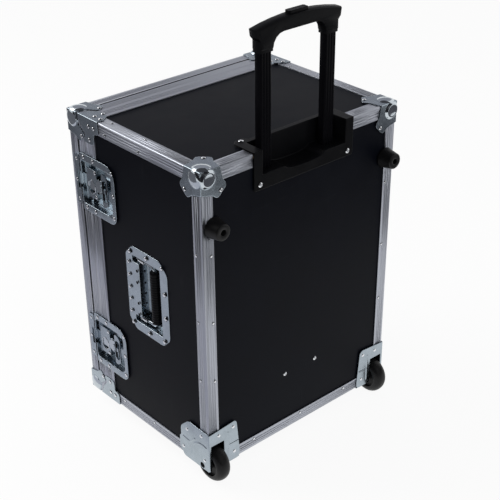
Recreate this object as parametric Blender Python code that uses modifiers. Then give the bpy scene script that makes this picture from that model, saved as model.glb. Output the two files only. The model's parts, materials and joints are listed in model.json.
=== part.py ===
"""Wheeled accessory trunk: a plywood flight case with a pull-out trolley handle.

Metres, +Z up. The case is laid out in its own frame: the middle of the box's bottom is zero,
-Y is the lid, +Y the back with wheels and trolley, +X the side with the latches. One empty
then moves the whole trunk so that the world origin is the middle of the floor under it.
"""

import math

import bmesh
import bpy
from mathutils import Matrix, Vector

MM = 0.001

# The case
CASE_WIDTH = 456 * MM  # latch side to hinge side, over the aluminium
CASE_DEPTH = 370 * MM  # lid to back
CASE_HEIGHT = 600 * MM
PANEL = 7 * MM  # plywood
LID_DEPTH = 24.5 * MM  # lid frame, front to seam
SEAM_GAP = 2.5 * MM
FIT = 0.3 * MM  # between pieces that rest on or in each other
SHEET = 1.2 * MM  # pressed steel of corners, braces, latches and handle

# Aluminium edge angle
EDGE_LEG = 24 * MM
EDGE_WALL = 2 * MM
EDGE_RADIUS = 2.5 * MM
RIB_WIDTH = 1.6 * MM
RIB_DEPTH = 0.5 * MM
RIB_PITCH = 5 * MM
RIBS = 3
EDGE_END = 24.5 * MM  # how far an edge angle stops from the case's corner

# Hybrid frames that meet at the seam
BODY_FRAME_LEG = 51 * MM
FRAME_WEB = 3 * MM
FRAME_INNER_WALL = 1.5 * MM
FRAME_POCKET = 15 * MM  # how deep the inner wall holds the panels' front edges
TONGUE_INSET = 6 * MM
TONGUE_ROOT = 2.5 * MM
TONGUE_TAPER = 0.25 * MM
TONGUE_REACH = 3 * MM  # past the seam into the groove
TONGUE_PLAY = 1 * MM
GROOVE_FLOOR = 1.5 * MM
LID_FRAME_LEG = 25 * MM

# Ball corners
BALL_RADIUS = 22.3 * MM
BALL_INSET = 13.5 * MM  # centre below each of the three faces
BALL_PROUD = 5.3 * MM  # flat facets stand this far out of the faces
LOBE_SIDE = 40 * MM
LOBE_TIP = 54 * MM
LID_LOBE_TIP = 50 * MM  # across the seam
LOBE_ROUND = 6 * MM

# Corner braces beside the lid corners
BRACE_START = 31 * MM  # from the front face
BRACE_END = 92 * MM
BRACE_TALL = 48 * MM
BRACE_TALL_END = 78 * MM
BRACE_LOW = 25 * MM
BRACE_TOP_WIDTH = 31 * MM

# Wheels and their pressed corners
WHEEL_RADIUS = 38 * MM
WHEEL_WIDTH = 25.5 * MM
WHEEL_SIDE = 18.6 * MM  # wheel's middle from the side face
WHEEL_BACK = 11.5 * MM  # axle from the back face
WHEEL_RISE = 6.5 * MM  # axle above the case's bottom
WHEEL_CROWN = 10 * MM
AXLE_RADIUS = 4 * MM
AXLE_HEAD = 6 * MM
HEAD_HEIGHT = 1.5 * MM
AXLE_PLAY = 0.3 * MM
WELL_WALL = 1.5 * MM
WELL_SIDE_PLAY = 2.4 * MM
WELL_ROUND_PLAY = 2.5 * MM
WELL_TOP_PLAY = 10 * MM
CORNER_LENGTH = 84.5 * MM  # wheel corner's side plate along the case
CORNER_WIDTH = 71 * MM  # its back and bottom plates across the case
CORNER_SIDE_TOP = 84 * MM
CORNER_BACK_TOP = 87 * MM
CORNER_LOW = 82 * MM  # its height along the case's upright edge
CORNER_DROP = 3.5 * MM  # lower edge of the side plate below the case
CORNER_HOLE = 6 * MM
CORNER_HOLE_BACK = 19.7 * MM  # hole in the side plate, from the back face
CORNER_HOLE_RISE = 3.6 * MM

# Bumpers on the back and feet under the front
BUMPER_SIDE = 23.5 * MM  # from the side face
BUMPER_HEIGHT_UP = 497 * MM
BUMPER_BASE = 19 * MM
BUMPER_TIP = 15 * MM
BUMPER_HOLE = 5.5 * MM
BUMPER_HOLE_DEPTH = 19 * MM
FOOT_SIDE = 78 * MM
FOOT_FRONT = 98 * MM
FOOT_TOP = 17 * MM
FOOT_TIP = 14 * MM

# Butterfly latches, measured from the seam's middle
LATCH_FROM_BOTTOM = 130 * MM  # lower latch's middle from the case's bottom
LATCH_FROM_TOP = 131 * MM  # upper latch's middle from the case's top
LATCH_LENGTH = 104 * MM
LATCH_HALF = 57 * MM
LATCH_ROUND = 24 * MM
DISH_DEPTH = 14 * MM
DISH_SHALLOW = 8.2 * MM  # over the body frame's inner wall
DISH_STEP = 20.6 * MM  # where the deep part starts
DISH_START = 3.2 * MM
DISH_END = 94 * MM
DISH_HALF = 43 * MM
KEEPER_EDGE = 16.5 * MM
KEEPER_HALF = 49 * MM
KEEPER_POCKET_HALF = 18 * MM
KEEPER_POCKET = 9.6 * MM
CATCH_AT = 2.6 * MM
CATCH_WIDTH = 1.5 * MM
CATCH_LOW = 3.5 * MM
HOOK_WIDTH = 26 * MM
HOOK_THICKNESS = 2.2 * MM
HOOK_TOP = 5.7 * MM
HOOK_LIP_TOP = 4 * MM
HOOK_TRAVEL = 3 * MM
SPINDLE_AT = 51 * MM
SPINDLE_RADIUS = 7 * MM
DISC_RADIUS = 12.5 * MM
DISC_TOP = 4 * MM
DISC_THICKNESS = 1.4 * MM
WING_HINGE = 8 * MM  # from the spindle's axis
WING_DEPTH = 1.8 * MM  # hinge axis below the case's face
WING_START = 3.2 * MM  # plate from the hinge axis
WING_LENGTH = 28 * MM
WING_HALF = 33 * MM
WING_SWEEP = 38 * MM  # no part of the wing is further from the spindle's axis
WING_PLATE = 2.4 * MM
WING_BARREL = 1.8 * MM
WING_PIN = 0.9 * MM
EAR_INNER = 5.3 * MM
EAR_WIDTH = 2.7 * MM
EAR_HALF_LENGTH = 2 * MM

# Recessed side handle
HANDLE_Y = 22 * MM
HANDLE_Z = 302 * MM
HANDLE_LENGTH = 120 * MM
HANDLE_HEIGHT = 176 * MM
HANDLE_CUT = 20 * MM
RECESS_BACK = 39 * MM  # recess edge from the handle's middle, towards the case's back
RECESS_FRONT = 22 * MM
RECESS_HALF = 69 * MM
CHANNEL_REACH = 41 * MM  # channels for the bail's arms
CHANNEL_WIDTH = 13 * MM
HANDLE_DEPTH = 18.5 * MM
HANDLE_WALL = 1.5 * MM
BAIL_ROD = 4 * MM
BAIL_SINK = 7.5 * MM
BAIL_PIVOT = 36 * MM  # pivot from the handle's middle, towards the lid
BAIL_HALF = 61.5 * MM
BAIL_STUB = 8.7 * MM
BAIL_REACH = 50 * MM
BAIL_BEND = 9 * MM
GRIP_RADIUS = 9.8 * MM
GRIP_LENGTH = 108 * MM
EAR_THICKNESS = 3 * MM

# Trolley
LEG_SIDE = 73 * MM  # leg from the middle
LEG_BACK = 24 * MM  # leg from the back face
LEG_WIDTH = 24.5 * MM
LEG_DEPTH = 16 * MM
LEG_ROUND = 3 * MM
LEG_FLUTE = 0.8 * MM
LEG_LENGTH = 396 * MM
TUBE_WALL = 2 * MM
TUBE_BOTTOM = 112 * MM
FOOT_BLOCK_HEIGHT = 34 * MM
FOOT_BLOCK_Z = 104 * MM
POCKET_HALF = 97 * MM
POCKET_FLOOR = 42 * MM  # below the case's top
POCKET_DEPTH = 39 * MM  # from the back face
SHELL_WALL = 2.5 * MM
SHELL_HALF = 116.5 * MM
SHELL_BODY_HALF = 112 * MM
SHELL_DROP = 69 * MM
SHELL_REACH = 48 * MM
SHELL_EAR = 8 * MM
SHELL_FLANGE = 1.8 * MM
SCOOP_HALF = 47 * MM
SCOOP_DROP = 9 * MM
EXTENSION = 199 * MM  # how far the grip's sockets stand above the pocket's floor at rest
GRIP_HALF = 95 * MM
GRIP_DEPTH = 24 * MM
GRIP_ROUND = 5 * MM
GRIP_TOP = 51 * MM  # arch above the sockets' ends
GRIP_SHOULDER = 40 * MM
GRIP_UNDER = 26 * MM
GRIP_FILLET = 22 * MM
SOCKET_WIDTH = 29 * MM
SOCKET_DEPTH = 20 * MM
LEG_IN_SOCKET = 19 * MM
BUTTON_HALF = 21 * MM
BUTTON_DEPTH = 13 * MM
BUTTON_HEIGHT = 8 * MM
BUTTON_PROUD = 4.5 * MM
BUTTON_TRAVEL = 3.5 * MM
INNER_PANEL = 4 * MM

# Continuous hinge
HINGE_STAND = 2.6 * MM  # pin's axis out of the case's side
KNUCKLE_RADIUS = 2.6 * MM
PIN_RADIUS = 1.2 * MM
PIN_PLAY = 0.25 * MM
LEAF_WIDTH = 20 * MM
HINGE_LENGTH = 476 * MM
KNUCKLES = 12

# What follows from the sizes
HALF_WIDTH = CASE_WIDTH / 2
FRONT = -CASE_DEPTH / 2
BACK = CASE_DEPTH / 2
TOP = CASE_HEIGHT
LID_REAR = FRONT + LID_DEPTH
BODY_FRONT = LID_REAR + SEAM_GAP
SEAM = (LID_REAR + BODY_FRONT) / 2
PANEL_SET = EDGE_WALL + FIT  # panel faces below the case's faces
INSIDE = PANEL_SET + PANEL  # the room inside starts this far below the faces
PANEL_FRONT = BODY_FRONT + FRAME_WEB + FIT
LATCH_HEIGHTS = {"lower": LATCH_FROM_BOTTOM, "upper": TOP - LATCH_FROM_TOP}
WHEEL_X = HALF_WIDTH - WHEEL_SIDE
WHEEL_Y = BACK - WHEEL_BACK
STAND_HEIGHT = WHEEL_RADIUS - WHEEL_RISE  # the case's bottom above the floor
BUMPER_LENGTH = WHEEL_Y + WHEEL_RADIUS - BACK  # bumpers and wheels lie level on the back
WELL_X = WHEEL_X - WHEEL_WIDTH / 2 - WELL_SIDE_PLAY
WELL_OUTER_X = WHEEL_X + WHEEL_WIDTH / 2 + WELL_SIDE_PLAY
WELL_Y = WHEEL_Y - WHEEL_RADIUS - WELL_ROUND_PLAY
WELL_Z = WHEEL_RISE + WHEEL_RADIUS + WELL_TOP_PLAY
LEG_Y = BACK - LEG_BACK
SHELL_FRONT = BACK - POCKET_DEPTH - SHELL_WALL
FLOOR_Z = TOP - POCKET_FLOOR
SOCKET_Z = FLOOR_Z + EXTENSION
NOTCH_X = WELL_X - WELL_WALL - HEAD_HEIGHT - 3 * FIT  # panels clear the axle's inner head
WRAP = -FIT - 0.6 * SHEET  # where plates on neighbouring faces run into each other
STAGGER = 0.6 * MM  # keeps the ends of plates that meet at an edge apart
SINK = 1 * MM  # extra thickness inwards that a later cut trims
SIDES = {"latch_side": 1, "hinge_side": -1}
ENDS = {"top": 1, "bottom": -1}


def new_collection(name):
    """Collection of that name, linked to the scene."""
    collection = bpy.data.collections.new(name)
    bpy.context.scene.collection.children.link(collection)
    return collection


def new_finish(name, color, roughness, metallic=0.0):
    """Material with a Principled BSDF."""
    material = bpy.data.materials.new(name)
    material.use_nodes = True
    shader = material.node_tree.nodes["Principled BSDF"]
    shader.inputs["Base Color"].default_value = (*color, 1)
    shader.inputs["Roughness"].default_value = roughness
    shader.inputs["Metallic"].default_value = metallic
    return material


def new_empty(name, location, parent=None):
    """Empty in case coordinates, for pieces to hang on."""
    empty = bpy.data.objects.new(name, None)
    empty.empty_display_size = 0.03
    empty.location = location
    if parent:
        empty.parent = parent
        empty.matrix_parent_inverse = Matrix.Translation(-pivot_place(parent))
    parts.objects.link(empty)
    return empty


def pivot_place(pivot):
    """Place of an empty in case coordinates."""
    return Vector((0, 0, 0)) if pivot is trunk else Vector(pivot.location)


def frame(origin, across, up):
    """Matrix with local X along across, local Y along up and its zero at origin."""
    across, up = Vector(across), Vector(up)
    matrix = Matrix((across, up, across.cross(up))).transposed().to_4x4()
    matrix.translation = Vector(origin)
    return matrix


def rounded(points, radius, steps=3):
    """Outline with an arc in place of each corner; radius is one number or one for each."""
    radii = radius if isinstance(radius, (list, tuple)) else [radius] * len(points)
    outline = []
    for index, (point, wanted) in enumerate(zip(points, radii)):
        corner = Vector(point)
        before = Vector(points[index - 1]) - corner
        after = Vector(points[(index + 1) % len(points)]) - corner
        half = before.angle(after) / 2
        reach = min(wanted / math.tan(half), 0.48 * before.length, 0.48 * after.length)
        if reach <= 0:
            outline.append(tuple(corner))
            continue
        used = reach * math.tan(half)
        bisector = (before.normalized() + after.normalized()).normalized()
        centre = corner + bisector * (used / math.sin(half))
        start = corner + before.normalized() * reach - centre
        end = corner + after.normalized() * reach - centre
        first = math.atan2(start.y, start.x)
        turn = math.atan2(end.y, end.x) - first
        turn = (turn + math.pi) % (2 * math.pi) - math.pi
        for step in range(steps + 1):
            angle = first + turn * step / steps
            outline.append((centre.x + used * math.cos(angle), centre.y + used * math.sin(angle)))
    return outline


def rectangle(left, right, low, high):
    """Four corners, anticlockwise."""
    return [(left, low), (right, low), (right, high), (left, high)]


def ribbed(start, direction):
    """Points along one leg of a profile, with its ribs; (distance from the corner, depth)."""
    points = []
    for rib in range(RIBS):
        middle = start + RIB_PITCH * (rib + 1)
        for along, depth in ((-0.5, 0), (-0.25, 1), (0.25, 1), (0.5, 0)):
            points.append((middle + along * RIB_WIDTH, depth * RIB_DEPTH))
    return points[::direction]


def as_mesh(source, place):
    """Mesh object made from a curve object, with its caps welded and faces pointing out."""
    bpy.context.scene.collection.objects.link(source)
    graph = bpy.context.evaluated_depsgraph_get()
    mesh = bpy.data.meshes.new_from_object(source.evaluated_get(graph))
    work = bmesh.new()
    work.from_mesh(mesh)
    bmesh.ops.remove_doubles(work, verts=work.verts, dist=1e-6)
    bmesh.ops.recalc_face_normals(work, faces=work.faces)
    work.to_mesh(mesh)
    work.free()
    mesh.name = source.name
    name = source.name
    bpy.data.objects.remove(source)
    made = bpy.data.objects.new(name, mesh)
    made.matrix_world = place
    return made


def extruded(name, loops, depth, place):
    """Solid from local z = 0 to depth; the loops after the first are holes."""
    curve = bpy.data.curves.new(name, "CURVE")
    curve.dimensions = "2D"
    curve.fill_mode = "BOTH"
    curve.extrude = depth / 2
    for loop in loops:
        spline = curve.splines.new("POLY")
        spline.points.add(len(loop) - 1)
        for point, (x, y) in zip(spline.points, loop):
            point.co = (x, y, 0, 1)
        spline.use_cyclic_u = True
    lifted = place @ Matrix.Translation((0, 0, depth / 2))
    return as_mesh(bpy.data.objects.new(name, curve), lifted)


def box(name, low, high):
    """Block between two corners in case coordinates."""
    low, high = Vector(low), Vector(high)
    work = bmesh.new()
    bmesh.ops.create_cube(work, size=1)
    bmesh.ops.scale(work, vec=high - low, verts=work.verts)
    mesh = bpy.data.meshes.new(name)
    work.to_mesh(mesh)
    work.free()
    made = bpy.data.objects.new(name, mesh)
    made.location = (low + high) / 2
    return made


def cylinder(name, radius, low, high, place, segments=24):
    """Cylinder about the place's local Z, from low to high along it."""
    work = bmesh.new()
    bmesh.ops.create_cone(
        work, cap_ends=True, segments=segments, radius1=radius, radius2=radius, depth=high - low
    )
    mesh = bpy.data.meshes.new(name)
    work.to_mesh(mesh)
    work.free()
    made = bpy.data.objects.new(name, mesh)
    made.matrix_world = place @ Matrix.Translation((0, 0, (low + high) / 2))
    return made


def turned(name, profile, place, steps=18):
    """Profile of (radius, height) points, outer side from top to bottom, turned about local Z."""
    mesh = bpy.data.meshes.new(name)
    links = [(index, index + 1) for index in range(len(profile) - 1)]
    if profile[0][0] > 0:
        links.append((len(profile) - 1, 0))
    mesh.from_pydata([(radius, 0, height) for radius, height in profile], links, [])
    made = bpy.data.objects.new(name, mesh)
    made.matrix_world = place
    screw = made.modifiers.new("turn", "SCREW")
    screw.steps = screw.render_steps = steps
    screw.use_merge_vertices = True
    screw.merge_threshold = 1e-5
    screw.use_smooth_shade = True
    return made


def rod(name, points, radius, place):
    """Round bar along a path of points, with closed ends."""
    curve = bpy.data.curves.new(name, "CURVE")
    curve.dimensions = "3D"
    curve.bevel_depth = radius
    curve.bevel_resolution = 2
    curve.use_fill_caps = True
    spline = curve.splines.new("POLY")
    spline.points.add(len(points) - 1)
    for point, co in zip(spline.points, points):
        point.co = (*co, 1)
    return as_mesh(bpy.data.objects.new(name, curve), place)


def plate(name, outline, wall, corner, inward, first, second, sink=0):
    """Plate that lies off one of the case's faces; the outline runs along first and second."""
    thickness = wall + sink
    place = frame(corner - inward * (FIT - sink), first, second)
    if first.cross(second).dot(inward) > 0:
        place = place @ Matrix.Translation((0, 0, -thickness))
    return extruded(name, [outline], thickness, place)


def add(piece, finish, pivot=None):
    """Makes the object a piece of the trunk, carried by a pivot or by the case."""
    parts.objects.link(piece)
    piece.data.materials.append(finish)
    carry(piece, pivot or trunk)
    return piece


def carry(piece, pivot):
    """Parents an object that is placed in case coordinates."""
    piece.parent = pivot
    piece.matrix_parent_inverse = Matrix.Translation(-pivot_place(pivot))


def boolean(piece, operation, tools):
    """Cuts or joins helper shapes, which stay out of the render."""
    for tool in tools:
        if tool.name not in helpers.objects:
            helpers.objects.link(tool)
            tool.hide_render = True
            tool.display_type = "WIRE"
            carry(tool, trunk)
        modifier = piece.modifiers.new(tool.name, "BOOLEAN")
        modifier.operation = operation
        modifier.object = tool
    return piece


def cut(piece, *tools):
    """Removes the tools' shapes from the piece."""
    return boolean(piece, "DIFFERENCE", tools)


def fuse(piece, *tools):
    """Adds the tools' shapes to the piece."""
    return boolean(piece, "UNION", tools)


def smooth(piece, degrees=35):
    """Shades round pieces smooth and keeps their edges sharp."""
    piece.data.shade_smooth()
    piece.data.set_sharp_from_angle(angle=math.radians(degrees))
    return piece


def angle_section():
    """Section of the edge angle, with its outer corner at zero and its legs along +X and +Y."""
    along = [(distance, depth) for distance, depth in ribbed(EDGE_RADIUS, 1)]
    first_leg = [(EDGE_LEG, 0)] + along[::-1]
    second_leg = [(depth, distance) for distance, depth in along] + [(0, EDGE_LEG)]
    corner = []
    for step in range(5):
        angle = math.pi / 2 * step / 4
        corner.append(
            (EDGE_RADIUS * (1 - math.sin(angle)), EDGE_RADIUS * (1 - math.cos(angle)))
        )
    inside = [(EDGE_WALL, EDGE_LEG), (EDGE_WALL, EDGE_WALL), (EDGE_LEG, EDGE_WALL)]
    return first_leg + corner + second_leg + inside


def add_edge(name, start, first, second, length):
    """Edge angle from a point of the case's edge towards the positive end of that edge."""
    run = Vector(first).cross(Vector(second))
    if sum(run) < 0:
        first, second = second, first
    return add(extruded(name, [angle_section()], length, frame(start, first, second)), aluminium)


def add_edges():
    """The nine lengths of edge angle: uprights, top back beside the trolley, sides and bottom."""
    front = BODY_FRONT + BODY_FRAME_LEG + FIT
    well_front = WELL_Y - WELL_WALL - FIT
    well_top = WELL_Z + WELL_WALL + FIT
    shell_end = SHELL_HALF + FIT
    forward, down, up = (0, -1, 0), (0, 0, -1), (0, 0, 1)
    for side, x in SIDES.items():
        edge_x = x * HALF_WIDTH
        across = (-x, 0, 0)
        length = TOP - EDGE_END - well_top
        add_edge(f"edge_back_{side}", (edge_x, BACK, well_top), across, forward, length)
        start = shell_end if x > 0 else -HALF_WIDTH + EDGE_END
        length = HALF_WIDTH - EDGE_END - shell_end
        add_edge(f"edge_top_back_{side}", (start, BACK, TOP), forward, down, length)
        add_edge(f"edge_top_{side}", (edge_x, front, TOP), across, down, BACK - EDGE_END - front)
        add_edge(f"edge_bottom_{side}", (edge_x, front, 0), across, up, well_front - front)
    add_edge("edge_bottom_back", (-NOTCH_X, BACK, 0), forward, up, 2 * NOTCH_X)


def mitred_frame(name, section):
    """Rectangular frame round the front of the case; section points are (inset, y)."""
    work = bmesh.new()
    rings = []
    for x, z in ((-1, -1), (1, -1), (1, 1), (-1, 1)):
        rings.append(
            [
                work.verts.new((x * (HALF_WIDTH - inset), y, TOP / 2 + z * (TOP / 2 - inset)))
                for inset, y in section
            ]
        )
    for index, ring in enumerate(rings):
        following = rings[(index + 1) % len(rings)]
        for point in range(len(section)):
            after = (point + 1) % len(section)
            work.faces.new((ring[point], ring[after], following[after], following[point]))
    bmesh.ops.recalc_face_normals(work, faces=work.faces)
    mesh = bpy.data.meshes.new(name)
    work.to_mesh(mesh)
    work.free()
    return bpy.data.objects.new(name, mesh)


def frame_inner_inset():
    """Inner face of both frames, below the case's faces."""
    return INSIDE + FIT + FRAME_INNER_WALL


def body_frame_section():
    """Outer leg with ribs, web with the tongue, and the inner wall that holds the panels."""
    chamfer = RIB_DEPTH
    inner = frame_inner_inset()
    tongue_end = LID_REAR - TONGUE_REACH
    ribs = [(depth, BODY_FRONT + distance) for distance, depth in ribbed(EDGE_RADIUS, 1)]
    second = BODY_FRAME_LEG / 2
    more = [(depth, BODY_FRONT + second + distance) for distance, depth in ribbed(0, 1)]
    outer = [(0, BODY_FRONT + BODY_FRAME_LEG)] + more[::-1] + ribs[::-1]
    front = [
        (0, BODY_FRONT + chamfer),
        (chamfer, BODY_FRONT),
        (TONGUE_INSET, BODY_FRONT),
        (TONGUE_INSET + TONGUE_TAPER, tongue_end),
        (TONGUE_INSET + TONGUE_ROOT - TONGUE_TAPER, tongue_end),
        (TONGUE_INSET + TONGUE_ROOT, BODY_FRONT),
        (inner, BODY_FRONT),
    ]
    web = BODY_FRONT + FRAME_WEB
    inside = [
        (inner, web + FRAME_POCKET),
        (INSIDE + FIT, web + FRAME_POCKET),
        (INSIDE + FIT, web),
        (EDGE_WALL, web),
        (EDGE_WALL, BODY_FRONT + BODY_FRAME_LEG),
    ]
    return outer + front + inside


def lid_frame_section():
    """Rear block with the groove, inner wall, side wall, and the leg over the lid panel."""
    inner = frame_inner_inset()
    groove_start = TONGUE_INSET - TONGUE_PLAY
    groove_end = TONGUE_INSET + TONGUE_ROOT + TONGUE_PLAY
    groove_floor = LID_REAR - TONGUE_REACH - TONGUE_PLAY
    block = groove_floor - GROOVE_FLOOR
    chamfer = RIB_DEPTH
    panel_back = FRONT + INSIDE + FIT
    rear = [
        (0, LID_REAR - chamfer),
        (chamfer, LID_REAR),
        (groove_start, LID_REAR),
        (groove_start, groove_floor),
        (groove_end, groove_floor),
        (groove_end, LID_REAR),
        (inner, LID_REAR),
    ]
    inside = [
        (inner, panel_back),
        (INSIDE + FIT, panel_back),
        (INSIDE + FIT, block),
        (EDGE_WALL, block),
        (EDGE_WALL, FRONT + EDGE_WALL),
        (LID_FRAME_LEG, FRONT + EDGE_WALL),
        (LID_FRAME_LEG, FRONT),
    ]
    ribs = [(distance, FRONT + depth) for distance, depth in ribbed(EDGE_RADIUS, 1)]
    chamfered = EDGE_RADIUS * 0.3
    corner = [(EDGE_RADIUS, FRONT), (chamfered, FRONT + chamfered), (0, FRONT + EDGE_RADIUS)]
    side = [(depth, FRONT + distance) for distance, depth in ribbed(EDGE_RADIUS, 1)]
    return rear + inside + ribs[::-1] + corner + side


def face_frame(side):
    """Local X along +Y, local Y along +Z, local Z out of a side face, zero at the seam."""
    x = SIDES[side]
    if x > 0:
        return frame((HALF_WIDTH, SEAM, 0), (0, 1, 0), (0, 0, 1))
    return frame((-HALF_WIDTH, SEAM, 0), (0, -1, 0), (0, 0, 1))


def latch_block(name, height, u, v, w):
    """Block in a latch's frame: along the case from the seam, up, and out of the face."""
    return box(
        name,
        (HALF_WIDTH + w[0], SEAM + u[0], height + v[0]),
        (HALF_WIDTH + w[1], SEAM + u[1], height + v[1]),
    )


def latch_cutters(name, height):
    """Blocks that clear the body and the lid frame for one latch."""
    around = SHEET + FIT
    out = 2 * SHEET
    half = DISH_HALF + around
    low = -DISH_SHALLOW - SHEET
    shallow = latch_block(
        f"{name}_body_room", height, (-2 * SEAM_GAP, DISH_END + around), (-half, half), (low, out)
    )
    low = -DISH_DEPTH - around
    deep = latch_block(
        f"{name}_deep_room", height, (DISH_STEP - around, DISH_END + around), (-half, half), (low, out)
    )
    half = KEEPER_POCKET_HALF + around
    low = -DISH_SHALLOW - SHEET
    lid = latch_block(f"{name}_lid_room", height, (-KEEPER_POCKET - around, 0), (-half, half), (low, out))
    return (shallow, deep), lid


def handle_room():
    """Recess outline with its two channels for the arms, from the handle's middle."""
    channel = RECESS_HALF - CHANNEL_WIDTH
    return [
        (-CHANNEL_REACH, -RECESS_HALF),
        (RECESS_BACK, -RECESS_HALF),
        (RECESS_BACK, RECESS_HALF),
        (-CHANNEL_REACH, RECESS_HALF),
        (-CHANNEL_REACH, channel),
        (-RECESS_FRONT, channel),
        (-RECESS_FRONT, -channel),
        (-CHANNEL_REACH, -channel),
    ]


def grown(loop, by):
    """Right-angled anticlockwise outline moved outwards."""
    points = []
    count = len(loop)
    for index in range(count):
        here = Vector(loop[index])
        before = (here - Vector(loop[index - 1])).normalized()
        after = (Vector(loop[(index + 1) % count]) - here).normalized()
        out = Vector((before.y, -before.x)) + Vector((after.y, -after.x))
        points.append(tuple(here + out * by))
    return points


def add_panels(latch_rooms):
    """Five body panels and the lid panel."""
    inner_half = HALF_WIDTH - INSIDE - FIT
    panel_back = BACK - PANEL_SET
    well_y = WELL_Y - WELL_WALL - FIT
    well_z = WELL_Z + WELL_WALL + FIT
    well_x = NOTCH_X
    wall_outline = [
        (PANEL_FRONT, PANEL_SET),
        (well_y, PANEL_SET),
        (well_y, well_z),
        (panel_back, well_z),
        (panel_back, TOP - PANEL_SET),
        (PANEL_FRONT, TOP - PANEL_SET),
    ]
    dish_gap = HANDLE_WALL + FIT
    recess = [(HANDLE_Y + u, HANDLE_Z + v) for u, v in grown(handle_room(), dish_gap)]
    for side, x in SIDES.items():
        loops = [wall_outline] + ([recess] if x > 0 else [])
        start = HALF_WIDTH - INSIDE if x > 0 else -HALF_WIDTH + PANEL_SET
        place = frame((start, 0, 0), (0, 1, 0), (0, 0, 1))
        panel = add(extruded(f"panel_{side}", loops, PANEL, place), plywood)
        if x > 0:
            cut(panel, *latch_rooms)
    shell_x = SHELL_BODY_HALF + FIT
    shell_y = SHELL_FRONT - FIT
    top_outline = [
        (-inner_half, PANEL_FRONT),
        (inner_half, PANEL_FRONT),
        (inner_half, panel_back),
        (shell_x, panel_back),
        (shell_x, shell_y),
        (-shell_x, shell_y),
        (-shell_x, panel_back),
        (-inner_half, panel_back),
    ]
    place = frame((0, 0, TOP - INSIDE), (1, 0, 0), (0, 1, 0))
    add(extruded("panel_top", [top_outline], PANEL, place), plywood)
    bottom_outline = [
        (-inner_half, PANEL_FRONT),
        (inner_half, PANEL_FRONT),
        (inner_half, well_y),
        (well_x, well_y),
        (well_x, panel_back),
        (-well_x, panel_back),
        (-well_x, well_y),
        (-inner_half, well_y),
    ]
    place = frame((0, 0, PANEL_SET), (1, 0, 0), (0, 1, 0))
    add(extruded("panel_bottom", [bottom_outline], PANEL, place), plywood)
    low, high = INSIDE + FIT, TOP - INSIDE - FIT
    shell_z = TOP - SHELL_DROP - FIT
    back_outline = [
        (-well_x, low),
        (well_x, low),
        (well_x, well_z),
        (inner_half, well_z),
        (inner_half, high),
        (shell_x, high),
        (shell_x, shell_z),
        (-shell_x, shell_z),
        (-shell_x, high),
        (-inner_half, high),
        (-inner_half, well_z),
        (-well_x, well_z),
    ]
    place = frame((0, panel_back, 0), (1, 0, 0), (0, 0, 1))
    add(extruded("panel_back", [back_outline], PANEL, place), plywood)
    load_outline = [
        (-well_x, low),
        (well_x, low),
        (well_x, well_z),
        (inner_half, well_z),
        (inner_half, high),
        (-inner_half, high),
        (-inner_half, well_z),
        (-well_x, well_z),
    ]
    place = frame((0, SHELL_FRONT - FIT, 0), (1, 0, 0), (0, 0, 1))
    add(extruded("panel_inner", [load_outline], INNER_PANEL, place), plywood)
    edge = HALF_WIDTH - PANEL_SET
    outline = rectangle(-edge, edge, PANEL_SET, TOP - PANEL_SET)
    place = frame((0, FRONT + INSIDE, 0), (1, 0, 0), (0, 0, 1))
    add(extruded("lid_panel", [outline], PANEL, place), plywood, lid_pivot)


def add_frames(body_rooms, lid_rooms):
    """Body frame and lid frame, cleared for the latches."""
    body = add(mitred_frame("body_frame", body_frame_section()), aluminium)
    cut(body, *body_rooms)
    lid = add(mitred_frame("lid_frame", lid_frame_section()), aluminium, lid_pivot)
    cut(lid, *lid_rooms)


def lobe(first_tip, second_tip, first_side, second_side):
    """Flange outline of one face of a ball corner, from the case's corner at zero."""
    over = WRAP
    points = [
        (over, over),
        (first_side, over),
        (first_side * 1.12, LOBE_SIDE * 0.52),
        (first_tip, LOBE_SIDE * 0.85),
        (LOBE_SIDE * 0.85, second_tip),
        (LOBE_SIDE * 0.52, second_side * 1.12),
        (over, second_side),
    ]
    return rounded(points, [0, 0, LOBE_ROUND, LOBE_ROUND, LOBE_ROUND, LOBE_ROUND, 0], 2)


def ball_corner(name, corner, directions, outlines):
    """Pressed corner: ball with flat facets and three flanges, hollow over the case's corner.

    directions point into the case along X, Y and Z; outlines holds one flange outline for
    each face, given along the two directions that lie in it.
    """
    corner = Vector(corner)
    inward = [Vector(direction) for direction in directions]
    centre = corner + sum((direction * BALL_INSET for direction in inward), Vector())
    work = bmesh.new()
    bmesh.ops.create_uvsphere(work, u_segments=18, v_segments=10, radius=BALL_RADIUS)
    mesh = bpy.data.meshes.new(name)
    work.to_mesh(mesh)
    work.free()
    made = bpy.data.objects.new(name, mesh)
    made.location = centre
    facet = Vector((1, 1, 1)) * (BALL_INSET + BALL_PROUD)
    keep = box(f"{name}_facets", centre - facet, centre + facet)
    boolean(made, "INTERSECT", [keep])
    flanges = []
    for index, outline in enumerate(outlines):
        first, second = (inward[axis] for axis in range(3) if axis != index)
        title = f"{name}_flange_{index}"
        flanges.append(plate(title, outline, SHEET, corner, inward[index], first, second, SINK))
    fuse(made, *flanges)
    reach = 2 * LOBE_TIP
    near = corner - sum((direction * FIT for direction in inward), Vector())
    far = near + sum((direction * reach for direction in inward), Vector())
    low = [min(a, b) for a, b in zip(near, far)]
    high = [max(a, b) for a, b in zip(near, far)]
    cut(made, box(f"{name}_hollow", low, high))
    return smooth(made)


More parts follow.
